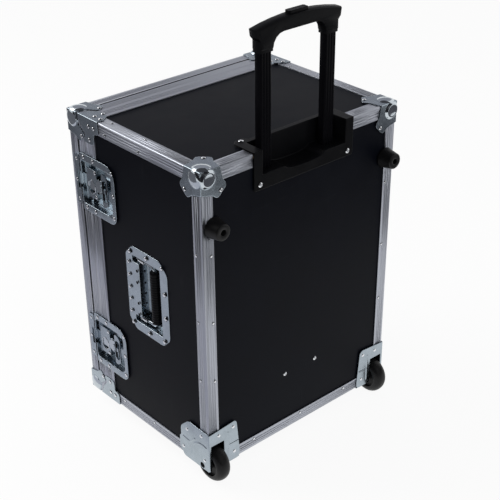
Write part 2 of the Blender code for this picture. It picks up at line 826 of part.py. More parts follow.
def add_ball_corners():
    """Two corners at the back top and four on the lid."""
    full = lobe(LOBE_TIP, LOBE_TIP, LOBE_SIDE, LOBE_SIDE)
    across_seam = lobe(LID_LOBE_TIP, LOBE_TIP, LID_DEPTH + SEAM_GAP, LOBE_SIDE)
    stop = LID_DEPTH - FIT
    trimmed = rounded(
        [
            (WRAP, WRAP),
            (stop, WRAP),
            (stop, LOBE_SIDE),
            (LOBE_SIDE * 0.45, LOBE_SIDE * 1.15),
            (WRAP, LOBE_SIDE),
        ],
        [0, 0, LOBE_ROUND, LOBE_ROUND, 0],
        2,
    )
    swapped = [(b, a) for a, b in across_seam]
    for side, x in SIDES.items():
        corner = (x * HALF_WIDTH, BACK, TOP)
        directions = ((-x, 0, 0), (0, -1, 0), (0, 0, -1))
        made = ball_corner(f"ball_corner_{side}", corner, directions, [full] * 3)
        add(made, zinc)
        for end, z in ENDS.items():
            corner = (x * HALF_WIDTH, FRONT, TOP if z > 0 else 0)
            directions = ((-x, 0, 0), (0, 1, 0), (0, 0, -z))
            on_side = across_seam if x > 0 else trimmed
            name = f"lid_corner_{end}_{side}"
            made = ball_corner(name, corner, directions, [on_side, full, swapped])
            if x < 0:
                swing_room = box(
                    f"{name}_swing_room",
                    (-HALF_WIDTH - BALL_RADIUS, LID_REAR - FIT, corner[2] - BALL_RADIUS * 2),
                    (-HALF_WIDTH - FIT / 2, LID_REAR + BALL_RADIUS, corner[2] + BALL_RADIUS * 2),
                )
                cut(made, swing_room)
            add(made, zinc, lid_pivot)


def add_braces():
    """Riveted plates that wrap the body's edge beside each lid corner."""
    over = WRAP
    tall = [
        (BRACE_START, over),
        (BRACE_START + 9 * MM, 18 * MM),
        (LID_LOBE_TIP + 4 * MM, 35 * MM),
        (BRACE_START + 12 * MM, 43 * MM),
        (BRACE_START + 19 * MM, BRACE_TALL),
        (BRACE_TALL_END, BRACE_TALL),
        (BRACE_TALL_END, BRACE_LOW),
        (BRACE_END, BRACE_LOW),
        (BRACE_END, over),
    ]
    side_outline = rounded(tall, [0, 4 * MM, 4 * MM, 4 * MM, 5 * MM, 7 * MM, 5 * MM, 6 * MM, 0], 2)
    end = BRACE_END - STAGGER
    low = [
        (BRACE_START + STAGGER, over),
        (BRACE_START + 9 * MM, 18 * MM),
        (BRACE_START + 21 * MM, BRACE_TOP_WIDTH),
        (BRACE_TALL_END, BRACE_TOP_WIDTH),
        (end, BRACE_LOW / 2),
        (end, over),
    ]
    top_outline = rounded(low, [0, 4 * MM, 4 * MM, 6 * MM, 4 * MM, 0], 2)
    for side, x in SIDES.items():
        for end, z in ENDS.items():
            name = f"brace_{end}_{side}"
            corner = Vector((x * HALF_WIDTH, FRONT, TOP if z > 0 else 0))
            legs = []
            for index, outline in ((0, side_outline), (2, top_outline)):
                inward = Vector((-x, 0, 0)) if index == 0 else Vector((0, 0, -z))
                second = Vector((0, 0, -z)) if index == 0 else Vector((-x, 0, 0))
                title = f"{name}_leg" if index else name
                first = Vector((0, 1, 0))
                legs.append(plate(title, outline, SHEET, corner, inward, first, second))
            fuse(add(legs[0], zinc), legs[1])


def add_wheel_corners():
    """Pressed wheel corners with their wells, axles and wheels."""
    over = WRAP
    step = CORNER_LENGTH - 4 * MM
    side_outline = rounded(
        [
            (over, -CORNER_DROP),
            (over, CORNER_LOW),
            (CORNER_LENGTH - 27 * MM, CORNER_SIDE_TOP),
            (step, CORNER_SIDE_TOP - 22 * MM),
            (step, CORNER_SIDE_TOP / 2),
            (CORNER_LENGTH, CORNER_SIDE_TOP / 2 - 5 * MM),
            (CORNER_LENGTH, 13 * MM),
            (CORNER_LENGTH - 13 * MM, -CORNER_DROP),
        ],
        [4 * MM, 0, 16 * MM, 14 * MM, 2 * MM, 2 * MM, 9 * MM, 8 * MM],
        3,
    )
    low, width = CORNER_LOW - STAGGER, CORNER_WIDTH - STAGGER
    less, more = over + 0.2 * MM, over - 0.2 * MM
    back_outline = rounded(
        [
            (more, more),
            (more, low),
            (CORNER_WIDTH - 6.5 * MM, CORNER_BACK_TOP),
            (CORNER_WIDTH, 15 * MM),
            (CORNER_WIDTH, more),
        ],
        [0, 0, 8 * MM, 3 * MM, 10 * MM],
        3,
    )
    bottom_outline = rounded(
        [
            (less, less),
            (width, less),
            (width, CORNER_LENGTH * 0.75),
            (width * 0.6, CORNER_LENGTH),
            (less, CORNER_LENGTH * 0.82),
        ],
        [0, 0, 10 * MM, 8 * MM, 0],
        3,
    )
    for side, x in SIDES.items():
        corner = Vector((x * HALF_WIDTH, BACK, 0))
        inward = [Vector((-x, 0, 0)), Vector((0, -1, 0)), Vector((0, 0, 1))]
        name = f"wheel_corner_{side}"
        plates = []
        for index, first, second, outline in (
            (0, 1, 2, side_outline),
            (1, 0, 2, back_outline),
            (2, 0, 1, bottom_outline),
        ):
            title = f"{name}_plate_{index}" if index else name
            legs = (inward[index], inward[first], inward[second])
            plates.append(plate(title, outline, WELL_WALL, corner, *legs))
        made = add(plates[0], zinc)
        fuse(made, *plates[1:])
        xs = sorted((x * (WELL_X - WELL_WALL), x * (WELL_OUTER_X + WELL_WALL)))
        well = box(
            f"{name}_well",
            (xs[0], WELL_Y - WELL_WALL, -FIT - WELL_WALL * 0.4),
            (xs[1], BACK + FIT + WELL_WALL * 0.3, WELL_Z + WELL_WALL),
        )
        fuse(made, well)
        xs = sorted((x * WELL_X, x * WELL_OUTER_X))
        room = box(
            f"{name}_room",
            (xs[0], WELL_Y, -WHEEL_RADIUS),
            (xs[1], BACK + WHEEL_RADIUS, WELL_Z),
        )
        axis = frame((x * WHEEL_X, WHEEL_Y, WHEEL_RISE), (0, x, 0), (0, 0, 1))
        reach = WHEEL_WIDTH / 2 + WELL_SIDE_PLAY + WELL_WALL + 1 * MM
        hole = cylinder(f"{name}_axle_hole", AXLE_RADIUS + AXLE_PLAY, -reach, reach, axis, 16)
        corner_hole = cylinder(
            f"{name}_tab_hole",
            CORNER_HOLE,
            WHEEL_SIDE - FIT,
            WHEEL_SIDE + 3 * WELL_WALL,
            frame((x * WHEEL_X, BACK - CORNER_HOLE_BACK, CORNER_HOLE_RISE), (0, x, 0), (0, 0, 1)),
            20,
        )
        cut(made, room, hole, corner_hole)
        pivot = new_empty(f"wheel_axis_{side}", (x * WHEEL_X, WHEEL_Y, WHEEL_RISE), trunk)
        add(turned(f"axle_{side}", axle_profile(), axis, 16), zinc)
        add(turned(f"wheel_{side}", wheel_profile(), axis, 24), rubber, pivot)


def axle_profile():
    """Rivet axle through both cheeks of the well, with a head at each end."""
    end = WHEEL_WIDTH / 2 + WELL_SIDE_PLAY + WELL_WALL + FIT
    return [
        (0, end + HEAD_HEIGHT),
        (AXLE_HEAD, end + HEAD_HEIGHT),
        (AXLE_HEAD, end),
        (AXLE_RADIUS, end),
        (AXLE_RADIUS, -end),
        (AXLE_HEAD, -end),
        (AXLE_HEAD, -end - HEAD_HEIGHT),
        (0, -end - HEAD_HEIGHT),
    ]


def wheel_profile():
    """Solid rubber wheel with a rounded tread, a dished face and a hub boss round its bore."""
    half = WHEEL_WIDTH / 2
    bore = AXLE_RADIUS + AXLE_PLAY
    boss = half + WELL_SIDE_PLAY - FIT
    crown = []
    for step in range(5):
        angle = math.pi / 2 * step / 4
        crown.append(
            (
                WHEEL_RADIUS - WHEEL_CROWN * (1 - math.sin(angle)),
                half - WHEEL_CROWN * (1 - math.cos(angle)),
            )
        )
    face = [
        (bore, boss),
        (bore * 2, boss),
        (bore * 2.4, half - 5 * MM),
        (WHEEL_RADIUS * 0.64, half - 5 * MM),
    ]
    upper = face + crown
    lower = [(radius, -height) for radius, height in upper[::-1]]
    return upper + lower


def bumper_profile(base, tip, length, hole, depth):
    """Tapered rubber buffer with a rounded tip and a countersunk screw hole."""
    edge = (base - hole) * 0.2
    return [
        (0, length - depth),
        (hole, length - depth),
        (hole, length - edge / 3),
        (hole + edge / 3, length),
        (tip - edge, length),
        (tip - edge * 0.3, length - edge * 0.3),
        (tip, length - edge),
        (base, edge),
        (base, 0),
        (0, 0),
    ]


def add_bumpers_and_feet():
    """Two bumpers on the back, as long as the wheels stand out, and two feet at the front."""
    for side, x in SIDES.items():
        place = frame(
            (x * (HALF_WIDTH - BUMPER_SIDE), BACK + FIT, BUMPER_HEIGHT_UP), (-1, 0, 0), (0, 0, 1)
        )
        profile = bumper_profile(
            BUMPER_BASE, BUMPER_TIP, BUMPER_LENGTH - FIT, BUMPER_HOLE, BUMPER_HOLE_DEPTH
        )
        add(turned(f"bumper_{side}", profile, place), rubber)
        place = frame(
            (x * (HALF_WIDTH - FOOT_SIDE), FRONT + FOOT_FRONT, PANEL_SET - FIT), (1, 0, 0), (0, -1, 0)
        )
        length = STAND_HEIGHT + PANEL_SET - FIT
        profile = bumper_profile(FOOT_TOP, FOOT_TIP, length, BUMPER_HOLE, BUMPER_HOLE_DEPTH)
        add(turned(f"foot_{side}", profile, place), rubber)


def add_latch(name, height):
    """Butterfly latch: body dish, lid keeper, hook, spindle and folding wing."""
    zero = face_frame("latch_side") @ Matrix.Translation((0, height, 0))

    def block(title, u, v, w):
        """Block in this latch's frame."""
        return latch_block(f"{name}_{title}", height, u, v, w)

    lip = SEAM_GAP / 2 + FIT
    flange = rounded(
        [(lip, -LATCH_HALF), (LATCH_LENGTH, -LATCH_HALF), (LATCH_LENGTH, LATCH_HALF), (lip, LATCH_HALF)],
        [3 * MM, LATCH_ROUND * 0.7, LATCH_ROUND, 3 * MM],
        4,
    )
    surface = zero @ Matrix.Translation((0, 0, FIT))
    dish = add(extruded(f"{name}_dish", [flange], SHEET, surface), zinc)
    outer = DISH_HALF + SHEET
    weld = FIT + SHEET / 2
    floor = SHEET - 0.2 * MM
    end = DISH_END + SHEET
    shallow, deep = -DISH_SHALLOW - floor, -DISH_DEPTH - floor
    fuse(
        dish,
        block("dish_tub", (DISH_START - SHEET, end), (-outer, outer), (shallow, weld)),
        block("dish_deep", (DISH_STEP - SHEET, end), (-outer, outer), (deep, weld / 2)),
    )
    mouth = HOOK_WIDTH / 2 + 2 * FIT
    half = DISH_HALF
    out = 4 * SHEET
    cut(
        dish,
        block("dish_room", (DISH_START, DISH_END), (-half, half), (-DISH_SHALLOW, out)),
        block("dish_deep_room", (DISH_STEP, DISH_END), (-half, half), (-DISH_DEPTH, out / 2)),
        block("dish_mouth", (-DISH_START, 2 * DISH_START), (-mouth, mouth), (-DISH_SHALLOW, 2 * out)),
    )

    keeper_outline = rounded(
        rectangle(-KEEPER_EDGE, -lip, -KEEPER_HALF, KEEPER_HALF), [4 * MM, 1 * MM, 1 * MM, 4 * MM], 3
    )
    keeper = add(extruded(f"{name}_keeper", [keeper_outline], SHEET, surface), zinc, lid_pivot)
    half = KEEPER_POCKET_HALF
    fuse(
        keeper,
        block(
            "keeper_tub",
            (-KEEPER_POCKET - SHEET, -lip - FIT),
            (-half - SHEET, half + SHEET),
            (-DISH_SHALLOW - floor, weld),
        ),
    )
    cut(keeper, block("keeper_room", (-KEEPER_POCKET, lip), (-half, half), (-DISH_SHALLOW, out)))
    bar = KEEPER_POCKET_HALF + SHEET / 2
    fuse(keeper, block("catch", (-CATCH_AT - CATCH_WIDTH, -CATCH_AT), (-bar, bar), (-CATCH_LOW, SHEET)))

    hook_low = HOOK_TOP + HOOK_THICKNESS
    hook_end = CATCH_AT + 2 * CATCH_WIDTH + 2 * FIT
    slot = SPINDLE_RADIUS + FIT
    hook_back = SPINDLE_AT + slot + HOOK_TRAVEL + 4 * MM
    hook_half = HOOK_WIDTH / 2
    hook_loop = rounded(
        rectangle(-hook_end, hook_back, -hook_half, hook_half), [1 * MM, 8 * MM, 8 * MM, 1 * MM], 3
    )
    slot_loop = rounded(
        rectangle(SPINDLE_AT - slot, SPINDLE_AT + slot + HOOK_TRAVEL, -slot, slot), slot * 0.95, 5
    )
    place = zero @ Matrix.Translation((0, 0, -hook_low))
    hook_pivot = new_empty(f"{name}_hook_slide", (HALF_WIDTH, SEAM, height), trunk)
    hook = add(extruded(f"{name}_hook", [hook_loop, slot_loop], HOOK_THICKNESS, place), zinc, hook_pivot)
    fuse(
        hook,
        block(
            "hook_lip",
            (-hook_end, -hook_end + CATCH_WIDTH),
            (-hook_half + 1 * MM, hook_half - 1 * MM),
            (-hook_low + HOOK_THICKNESS / 2, -HOOK_LIP_TOP),
        ),
    )

    axis = zero @ Matrix.Translation((SPINDLE_AT, 0, 0))
    spindle_pivot = new_empty(f"{name}_spindle_axis", (HALF_WIDTH, SEAM + SPINDLE_AT, height), trunk)
    profile = [
        (0, -DISC_TOP),
        (DISC_RADIUS, -DISC_TOP),
        (DISC_RADIUS, -DISC_TOP - DISC_THICKNESS),
        (SPINDLE_RADIUS, -DISC_TOP - DISC_THICKNESS),
        (SPINDLE_RADIUS, -DISH_DEPTH + FIT),
        (0, -DISH_DEPTH + FIT),
    ]
    spindle = add(turned(f"{name}_spindle", profile, axis, 20), zinc, spindle_pivot)
    hinge_u = SPINDLE_AT + WING_HINGE
    ears = [
        block(
            f"ear_{index}",
            (hinge_u - EAR_HALF_LENGTH, hinge_u + EAR_HALF_LENGTH),
            sorted((sign * EAR_INNER, sign * (EAR_INNER + EAR_WIDTH))),
            (-DISC_TOP - DISC_THICKNESS / 2, WING_BARREL - WING_DEPTH),
        )
        for index, sign in enumerate((-1, 1))
    ]
    fuse(spindle, *ears)
    across = frame((HALF_WIDTH - WING_DEPTH, SEAM + hinge_u, height), (1, 0, 0), (0, 1, 0))
    pin_half = EAR_INNER + EAR_WIDTH
    cut(
        spindle,
        cylinder(f"{name}_pin_hole", WING_PIN + FIT, -2 * pin_half, 2 * pin_half, across, 12),
    )

    start = hinge_u + WING_START
    end = SPINDLE_AT + WING_LENGTH
    shoulder = SPINDLE_AT + math.sqrt(WING_SWEEP**2 - WING_HALF**2)
    tip = math.sqrt(WING_SWEEP**2 - WING_LENGTH**2)
    neck = EAR_INNER - FIT
    half_outline = [(hinge_u, neck), (start, neck), (start, WING_HALF), (shoulder, WING_HALF), (end, tip)]
    mirrored = [(u, -v) for u, v in half_outline]
    radii = [0, 0, 3 * MM, 5 * MM, 5 * MM]
    outline = rounded(mirrored + half_outline[::-1], radii + radii[::-1], 3)
    bar = 4 * MM
    windows = []
    for sign in (-1, 1):
        low, high = sorted((sign * bar, sign * (tip - bar)))
        windows.append(rounded(rectangle(start + bar, end - bar, low, high), 3 * MM, 2))
    place = zero @ Matrix.Translation((0, 0, -WING_DEPTH - WING_PLATE / 2))
    wing_pivot = new_empty(
        f"{name}_wing_axis", (HALF_WIDTH - WING_DEPTH, SEAM + hinge_u, height), trunk
    )
    wing = add(extruded(f"{name}_wing", [outline] + windows, WING_PLATE, place), zinc, wing_pivot)
    barrel = cylinder(f"{name}_barrel", WING_BARREL, -neck, neck, across, 16)
    pin = cylinder(f"{name}_pin", WING_PIN, -pin_half, pin_half, across, 12)
    fuse(wing, barrel, pin)


def add_handle():
    """Recessed handle on the latch side: pressed dish, sprung bail and its rubber grip."""
    face = HALF_WIDTH - PANEL_SET
    zero = frame((face, HANDLE_Y, HANDLE_Z), (0, 1, 0), (0, 0, 1))
    half_length, half_height = HANDLE_LENGTH / 2, HANDLE_HEIGHT / 2
    cut_by = HANDLE_CUT
    outline = rounded(
        [
            (-half_length, -half_height + cut_by),
            (-half_length + cut_by, -half_height),
            (half_length - cut_by, -half_height),
            (half_length, -half_height + cut_by),
            (half_length, half_height - cut_by),
            (half_length - cut_by, half_height),
            (-half_length + cut_by, half_height),
            (-half_length, half_height - cut_by),
        ],
        14 * MM,
        3,
    )
    room = handle_room()
    dish = add(
        extruded("handle_dish", [outline], SHEET, zero @ Matrix.Translation((0, 0, FIT))), zinc
    )
    tub_place = zero @ Matrix.Translation((0, 0, -HANDLE_DEPTH - HANDLE_WALL))
    tub = extruded(
        "handle_tub", [grown(room, HANDLE_WALL)], HANDLE_DEPTH + HANDLE_WALL + FIT + SHEET / 2, tub_place
    )
    room_place = zero @ Matrix.Translation((0, 0, -HANDLE_DEPTH))
    hollow = extruded("handle_hollow", [room], 2 * HANDLE_DEPTH, room_place)
    pivot_y = HANDLE_Y - BAIL_PIVOT
    pivot_x = face - BAIL_SINK
    along = frame((pivot_x, pivot_y, HANDLE_Z), (1, 0, 0), (0, 1, 0))
    stub_end = BAIL_HALF + BAIL_STUB
    hole = cylinder("handle_pivot_hole", BAIL_ROD * 0.6 + FIT, -2 * stub_end, 2 * stub_end, along, 16)
    fuse(dish, tub)
    cut(dish, hollow, hole)
    pivot = new_empty("handle_bail_axis", (pivot_x, pivot_y, HANDLE_Z), trunk)
    bail = add(bail_rod(pivot_x, pivot_y), zinc, pivot)
    pin = cylinder("handle_pivot_pin", BAIL_ROD * 0.6, BAIL_HALF - BAIL_ROD, stub_end, along, 16)
    other = cylinder("handle_pivot_pin_low", BAIL_ROD * 0.6, -stub_end, -BAIL_HALF + BAIL_ROD, along, 16)
    fuse(bail, pin, other)
    half = GRIP_LENGTH / 2
    edge = 2 * MM
    inner = BAIL_ROD + FIT
    profile = [
        (inner, half),
        (GRIP_RADIUS - edge, half),
        (GRIP_RADIUS, half - edge),
        (GRIP_RADIUS, -half + edge),
        (GRIP_RADIUS - edge, -half),
        (inner, -half),
    ]
    place = frame((pivot_x, pivot_y + BAIL_REACH, HANDLE_Z), (1, 0, 0), (0, 1, 0))
    add(turned("handle_grip", profile, place, 20), rubber, pivot)


def bail_rod(pivot_x, pivot_y):
    """Bent steel bar: two arms from the pivots and the stretch inside the grip."""
    path = [(0, BAIL_HALF)]
    for sign in (1, -1):
        centre = (BAIL_REACH - BAIL_BEND, sign * (BAIL_HALF - BAIL_BEND))
        for step in range(5):
            angle = sign * math.pi / 2 * (1 - step / 4) if sign > 0 else -math.pi / 2 * step / 4
            path.append(
                (centre[0] + BAIL_BEND * math.cos(angle), centre[1] + BAIL_BEND * math.sin(angle))
            )
    path.append((0, -BAIL_HALF))
    points = [(0, along, up) for along, up in path]
    return rod("handle_bail", points, BAIL_ROD, Matrix.Translation((pivot_x, pivot_y, HANDLE_Z)))


def fluted_section(width, depth, corner, flute):
    """Rounded tube outline with three shallow flutes on its front and back."""
    outline = rounded(rectangle(-width / 2, width / 2, -depth / 2, depth / 2), corner, 3)
    if not flute:
        return outline
    pitch = (width - 2 * corner) / 3
    lower, upper = [], []
    for index in (-1, 0, 1):
        middle = index * pitch
        for along, sunk in ((-0.3, 0), (-0.15, 1), (0.15, 1), (0.3, 0)):
            lower.append((middle + along * pitch, -depth / 2 + sunk * flute))
            upper.append((-middle - along * pitch, depth / 2 - sunk * flute))
    count = len(outline) // 4
    left_low, right_low = outline[:count], outline[count : 2 * count]
    right_top, left_top = outline[2 * count : 3 * count], outline[3 * count :]
    return left_low + lower + right_low + right_top + upper + left_top


def add_trolley():
    """Pocket shell, outer tube frame, inner tubes, grip and push button."""
    add(trolley_shell(), moulded)
    outer_width = LEG_WIDTH + 2 * (FIT + TUBE_WALL)
    outer_depth = LEG_DEPTH + 2 * (FIT + TUBE_WALL)
    tube_top = FLOOR_Z - SHELL_WALL - FIT
    bore = fluted_section(LEG_WIDTH + 2 * FIT, LEG_DEPTH + 2 * FIT, LEG_ROUND, 0)
    outer = fluted_section(outer_width, outer_depth, LEG_ROUND + TUBE_WALL, 0)
    tubes = []
    for index, x in enumerate((1, -1)):
        place = Matrix.Translation((x * LEG_SIDE, LEG_Y, TUBE_BOTTOM))
        title = "trolley_tube_frame" if x > 0 else "trolley_tube_second"
        tubes.append(extruded(title, [outer, bore], tube_top - TUBE_BOTTOM, place))
    tube_frame = add(tubes[0], black_aluminium)
    foot_half = LEG_SIDE + outer_width / 2 + TUBE_WALL
    foot_block = box(
        "trolley_foot_block",
        (-foot_half, SHELL_FRONT + FIT, FOOT_BLOCK_Z),
        (foot_half, BACK - INSIDE - FIT, FOOT_BLOCK_Z + FOOT_BLOCK_HEIGHT),
    )
    fuse(tube_frame, tubes[1], foot_block)
    rooms = []
    for x in (1, -1):
        place = Matrix.Translation((x * LEG_SIDE, LEG_Y, TUBE_BOTTOM))
        rooms.append(extruded(f"trolley_foot_bore_{x}", [bore], 2 * FOOT_BLOCK_HEIGHT, place))
    cut(tube_frame, *rooms)
    slide = new_empty("trolley_slide", (0, LEG_Y, SOCKET_Z), trunk)
    leg = fluted_section(LEG_WIDTH, LEG_DEPTH, LEG_ROUND, LEG_FLUTE)
    leg_top = SOCKET_Z + LEG_IN_SOCKET
    for side, x in SIDES.items():
        place = Matrix.Translation((x * LEG_SIDE, LEG_Y, leg_top - LEG_LENGTH))
        add(extruded(f"trolley_leg_{side}", [leg], LEG_LENGTH, place), black_aluminium, slide)
    add(trolley_grip(leg_top), moulded, slide)
    press = new_empty("trolley_button_slide", (0, LEG_Y, SOCKET_Z + GRIP_TOP), slide)
    top = SOCKET_Z + GRIP_TOP + BUTTON_PROUD
    outline = rounded(
        rectangle(-BUTTON_HALF, BUTTON_HALF, -BUTTON_DEPTH / 2, BUTTON_DEPTH / 2), 3 * MM, 3
    )
    place = Matrix.Translation((0, LEG_Y, top - BUTTON_HEIGHT))
    add(extruded("trolley_button", [outline], BUTTON_HEIGHT, place), moulded, press)


def trolley_shell():
    """Moulded shell let into the top back edge: pocket, leg holes, finger scoop and flanges."""
    top = TOP + FIT + SHELL_FLANGE
    back = BACK + FIT + SHELL_FLANGE
    shell = box(
        "trolley_shell",
        (-SHELL_BODY_HALF, SHELL_FRONT, TOP - SHELL_DROP),
        (SHELL_BODY_HALF, BACK + FIT + SHELL_FLANGE / 2, TOP + FIT + SHELL_FLANGE / 2),
    )
    reach = SHELL_REACH
    ear = SHELL_HALF - 32 * MM
    top_flange = extruded(
        "trolley_shell_top_flange",
        [
            rounded(
                [
                    (-SHELL_HALF, -SHELL_FLANGE),
                    (SHELL_HALF, -SHELL_FLANGE),
                    (SHELL_HALF, reach),
                    (SHELL_HALF - SHELL_EAR, reach + SHELL_EAR),
                    (ear + SHELL_EAR, reach + SHELL_EAR),
                    (ear, reach),
                    (-ear, reach),
                    (-ear - SHELL_EAR, reach + SHELL_EAR),
                    (-SHELL_HALF + SHELL_EAR, reach + SHELL_EAR),
                    (-SHELL_HALF, reach),
                ],
                [0, 0, 3 * MM, 3 * MM, 3 * MM, 3 * MM, 3 * MM, 3 * MM, 3 * MM, 3 * MM],
                2,
            )
        ],
        SHELL_FLANGE,
        frame((0, BACK, TOP + FIT), (-1, 0, 0), (0, -1, 0)),
    )
    back_flange = extruded(
        "trolley_shell_back_flange",
        [
            rounded(
                [
                    (-SHELL_HALF, -SHELL_DROP),
                    (SHELL_HALF, -SHELL_DROP),
                    (SHELL_HALF, SHELL_FLANGE),
                    (-SHELL_HALF, SHELL_FLANGE),
                ],
                [4 * MM, 4 * MM, 0, 0],
                2,
            )
        ],
        SHELL_FLANGE,
        frame((0, BACK + FIT, TOP), (-1, 0, 0), (0, 0, 1)),
    )
    fuse(shell, top_flange, back_flange)
    pocket = box(
        "trolley_pocket",
        (-POCKET_HALF, BACK - POCKET_DEPTH, FLOOR_Z),
        (POCKET_HALF, back + SHELL_WALL, top + SHELL_WALL),
    )
    dip = [(-SCOOP_HALF, SCOOP_DROP)]
    for step in range(17):
        share = -1 + step / 8
        dip.append((share * SCOOP_HALF, -SCOOP_DROP * (1 - abs(share) ** 3) ** 0.6))
    dip.append((SCOOP_HALF, SCOOP_DROP))
    scoop = extruded(
        "trolley_scoop",
        [dip],
        POCKET_DEPTH + 2 * SHELL_WALL,
        frame((0, BACK - POCKET_DEPTH, FLOOR_Z), (-1, 0, 0), (0, 0, 1)),
    )
    rooms = []
    below = TOP - SHELL_DROP - SHELL_WALL
    inner_x = POCKET_HALF + SHELL_WALL
    outer_x = SHELL_BODY_HALF - SHELL_WALL
    under_x = SCOOP_HALF + SHELL_WALL
    for x in (1, -1):
        xs = sorted((x * inner_x, x * outer_x))
        rooms.append(
            box(
                f"trolley_end_room_{x}",
                (xs[0], SHELL_FRONT - SHELL_WALL, below),
                (xs[1], BACK - SHELL_WALL, TOP - SHELL_WALL),
            )
        )
        xs = sorted((x * under_x, x * POCKET_HALF))
        rooms.append(
            box(
                f"trolley_under_room_{x}",
                (xs[0], SHELL_FRONT - SHELL_WALL, below),
                (xs[1], BACK - SHELL_WALL, FLOOR_Z - SHELL_WALL),
            )
        )
        hole = fluted_section(LEG_WIDTH + 2 * FIT, LEG_DEPTH + 2 * FIT, LEG_ROUND, 0)
        place = Matrix.Translation((x * LEG_SIDE, LEG_Y, FLOOR_Z - 2 * SHELL_WALL))
        rooms.append(extruded(f"trolley_leg_hole_{x}", [hole], 4 * SHELL_WALL, place))
    cut(shell, pocket, scoop, *rooms)
    return shell


def trolley_grip(leg_top):
    """Arched grip with a socket for each leg and a pocket for the push button."""
    inner_x = LEG_SIDE - SOCKET_WIDTH / 2
    outer_x = LEG_SIDE + SOCKET_WIDTH / 2
    upper = []
    for step in range(9):
        share = -1 + step / 4
        upper.append(
            (-share * GRIP_HALF, GRIP_SHOULDER + (GRIP_TOP - GRIP_SHOULDER) * (1 - share**2))
        )
    corner = 0.35 * GRIP_SHOULDER
    fillet = []
    for step in range(5):
        angle = math.pi / 2 * step / 4
        fillet.append(
            (
                -inner_x + GRIP_FILLET * (1 - math.cos(angle)),
                GRIP_UNDER - GRIP_FILLET * (1 - math.sin(angle)),
            )
        )
    start = [(-GRIP_HALF + 2 * MM, GRIP_SHOULDER - corner), (-outer_x, GRIP_UNDER - 6 * MM)]
    start += [(-outer_x, 4 * MM), (-inner_x, 4 * MM)]
    under = start + fillet
    mirrored = [(-x, z) for x, z in under[::-1]]
    outline = under + mirrored + upper
    curve = bpy.data.curves.new("trolley_grip", "CURVE")
    curve.dimensions = "2D"
    curve.fill_mode = "BOTH"
    curve.extrude = GRIP_DEPTH / 2 - GRIP_ROUND
    curve.bevel_depth = GRIP_ROUND
    curve.bevel_resolution = 1
    curve.offset = -GRIP_ROUND
    spline = curve.splines.new("POLY")
    spline.points.add(len(outline) - 1)
    for point, (x, z) in zip(spline.points, outline):
        point.co = (x, z, 0, 1)
    spline.use_cyclic_u = True
    place = frame((0, LEG_Y, SOCKET_Z), (-1, 0, 0), (0, 0, 1))
    grip = as_mesh(bpy.data.objects.new("trolley_grip", curve), place)
    sockets = []
    bores = []
    for x in (1, -1):
        middle = x * LEG_SIDE
        outline = rounded(
            rectangle(-SOCKET_WIDTH / 2, SOCKET_WIDTH / 2, -SOCKET_DEPTH / 2, SOCKET_DEPTH / 2), 3 * MM, 2
        )
        place = Matrix.Translation((middle, LEG_Y, SOCKET_Z))
        sockets.append(extruded(f"trolley_socket_{x}", [outline], GRIP_UNDER, place))
        bore = fluted_section(LEG_WIDTH + 2 * FIT, LEG_DEPTH + 2 * FIT, LEG_ROUND, 0)
        place = Matrix.Translation((middle, LEG_Y, SOCKET_Z - SHELL_WALL))
        bores.append(
            extruded(f"trolley_bore_{x}", [bore], leg_top + FIT - SOCKET_Z + SHELL_WALL, place)
        )
    fuse(grip, *sockets)
    depth = BUTTON_HEIGHT - BUTTON_PROUD + BUTTON_TRAVEL + FIT
    room = box(
        "trolley_button_room",
        (-BUTTON_HALF - FIT, LEG_Y - BUTTON_DEPTH / 2 - FIT, SOCKET_Z + GRIP_TOP - depth),
        (BUTTON_HALF + FIT, LEG_Y + BUTTON_DEPTH / 2 + FIT, SOCKET_Z + GRIP_TOP + BUTTON_HEIGHT),
    )
    cut(grip, room, *bores)
    return grip


def add_hinge():
    """Continuous hinge on the side away from the latches: two leaves and the pin."""
    axis_x = -HALF_WIDTH - HINGE_STAND
    middle = TOP / 2
    low = middle - HINGE_LENGTH / 2
    length = HINGE_LENGTH / KNUCKLES
    axis = Matrix.Translation((axis_x, SEAM, 0))
    edge = KNUCKLE_RADIUS + FIT
    outer_x = -HALF_WIDTH - FIT - SHEET
    for name, sign, first, finish, pivot in (
        ("hinge_body_leaf", 1, 0, zinc, None),
        ("hinge_lid_leaf", -1, 1, zinc, lid_pivot),
    ):
        outline = []
        for index in range(KNUCKLES):
            inner = PIN_RADIUS if index % 2 == first else edge
            start = low + index * length
            gap = FIT / 2
            outline += [(sign * inner, start + gap), (sign * inner, start + length - gap)]
        outline += [(sign * LEAF_WIDTH, low + KNUCKLES * length), (sign * LEAF_WIDTH, low)]
        place = frame((outer_x, SEAM, 0), (0, 1, 0), (0, 0, 1))
        leaf = add(extruded(name, [outline], SHEET, place), finish, pivot)
        work = bmesh.new()
        for index in range(first, KNUCKLES, 2):
            centre = low + (index + 0.5) * length
            bmesh.ops.create_cone(
                work,
                cap_ends=True,
                segments=10,
                radius1=KNUCKLE_RADIUS,
                radius2=KNUCKLE_RADIUS,
                depth=length - FIT,
                matrix=Matrix.Translation((0, 0, centre)),
            )
        mesh = bpy.data.meshes.new(f"{name}_knuckles")
        work.to_mesh(mesh)
        work.free()
        knuckles = bpy.data.objects.new(f"{name}_knuckles", mesh)
        knuckles.matrix_world = axis
        fuse(leaf, knuckles)
        bore = cylinder(
            f"{name}_bore", PIN_RADIUS + PIN_PLAY, low - FIT, low + HINGE_LENGTH + FIT, axis, 8
        )
        cut(leaf, bore)
    add(cylinder("hinge_pin", PIN_RADIUS, low, low + HINGE_LENGTH, axis, 12), zinc)


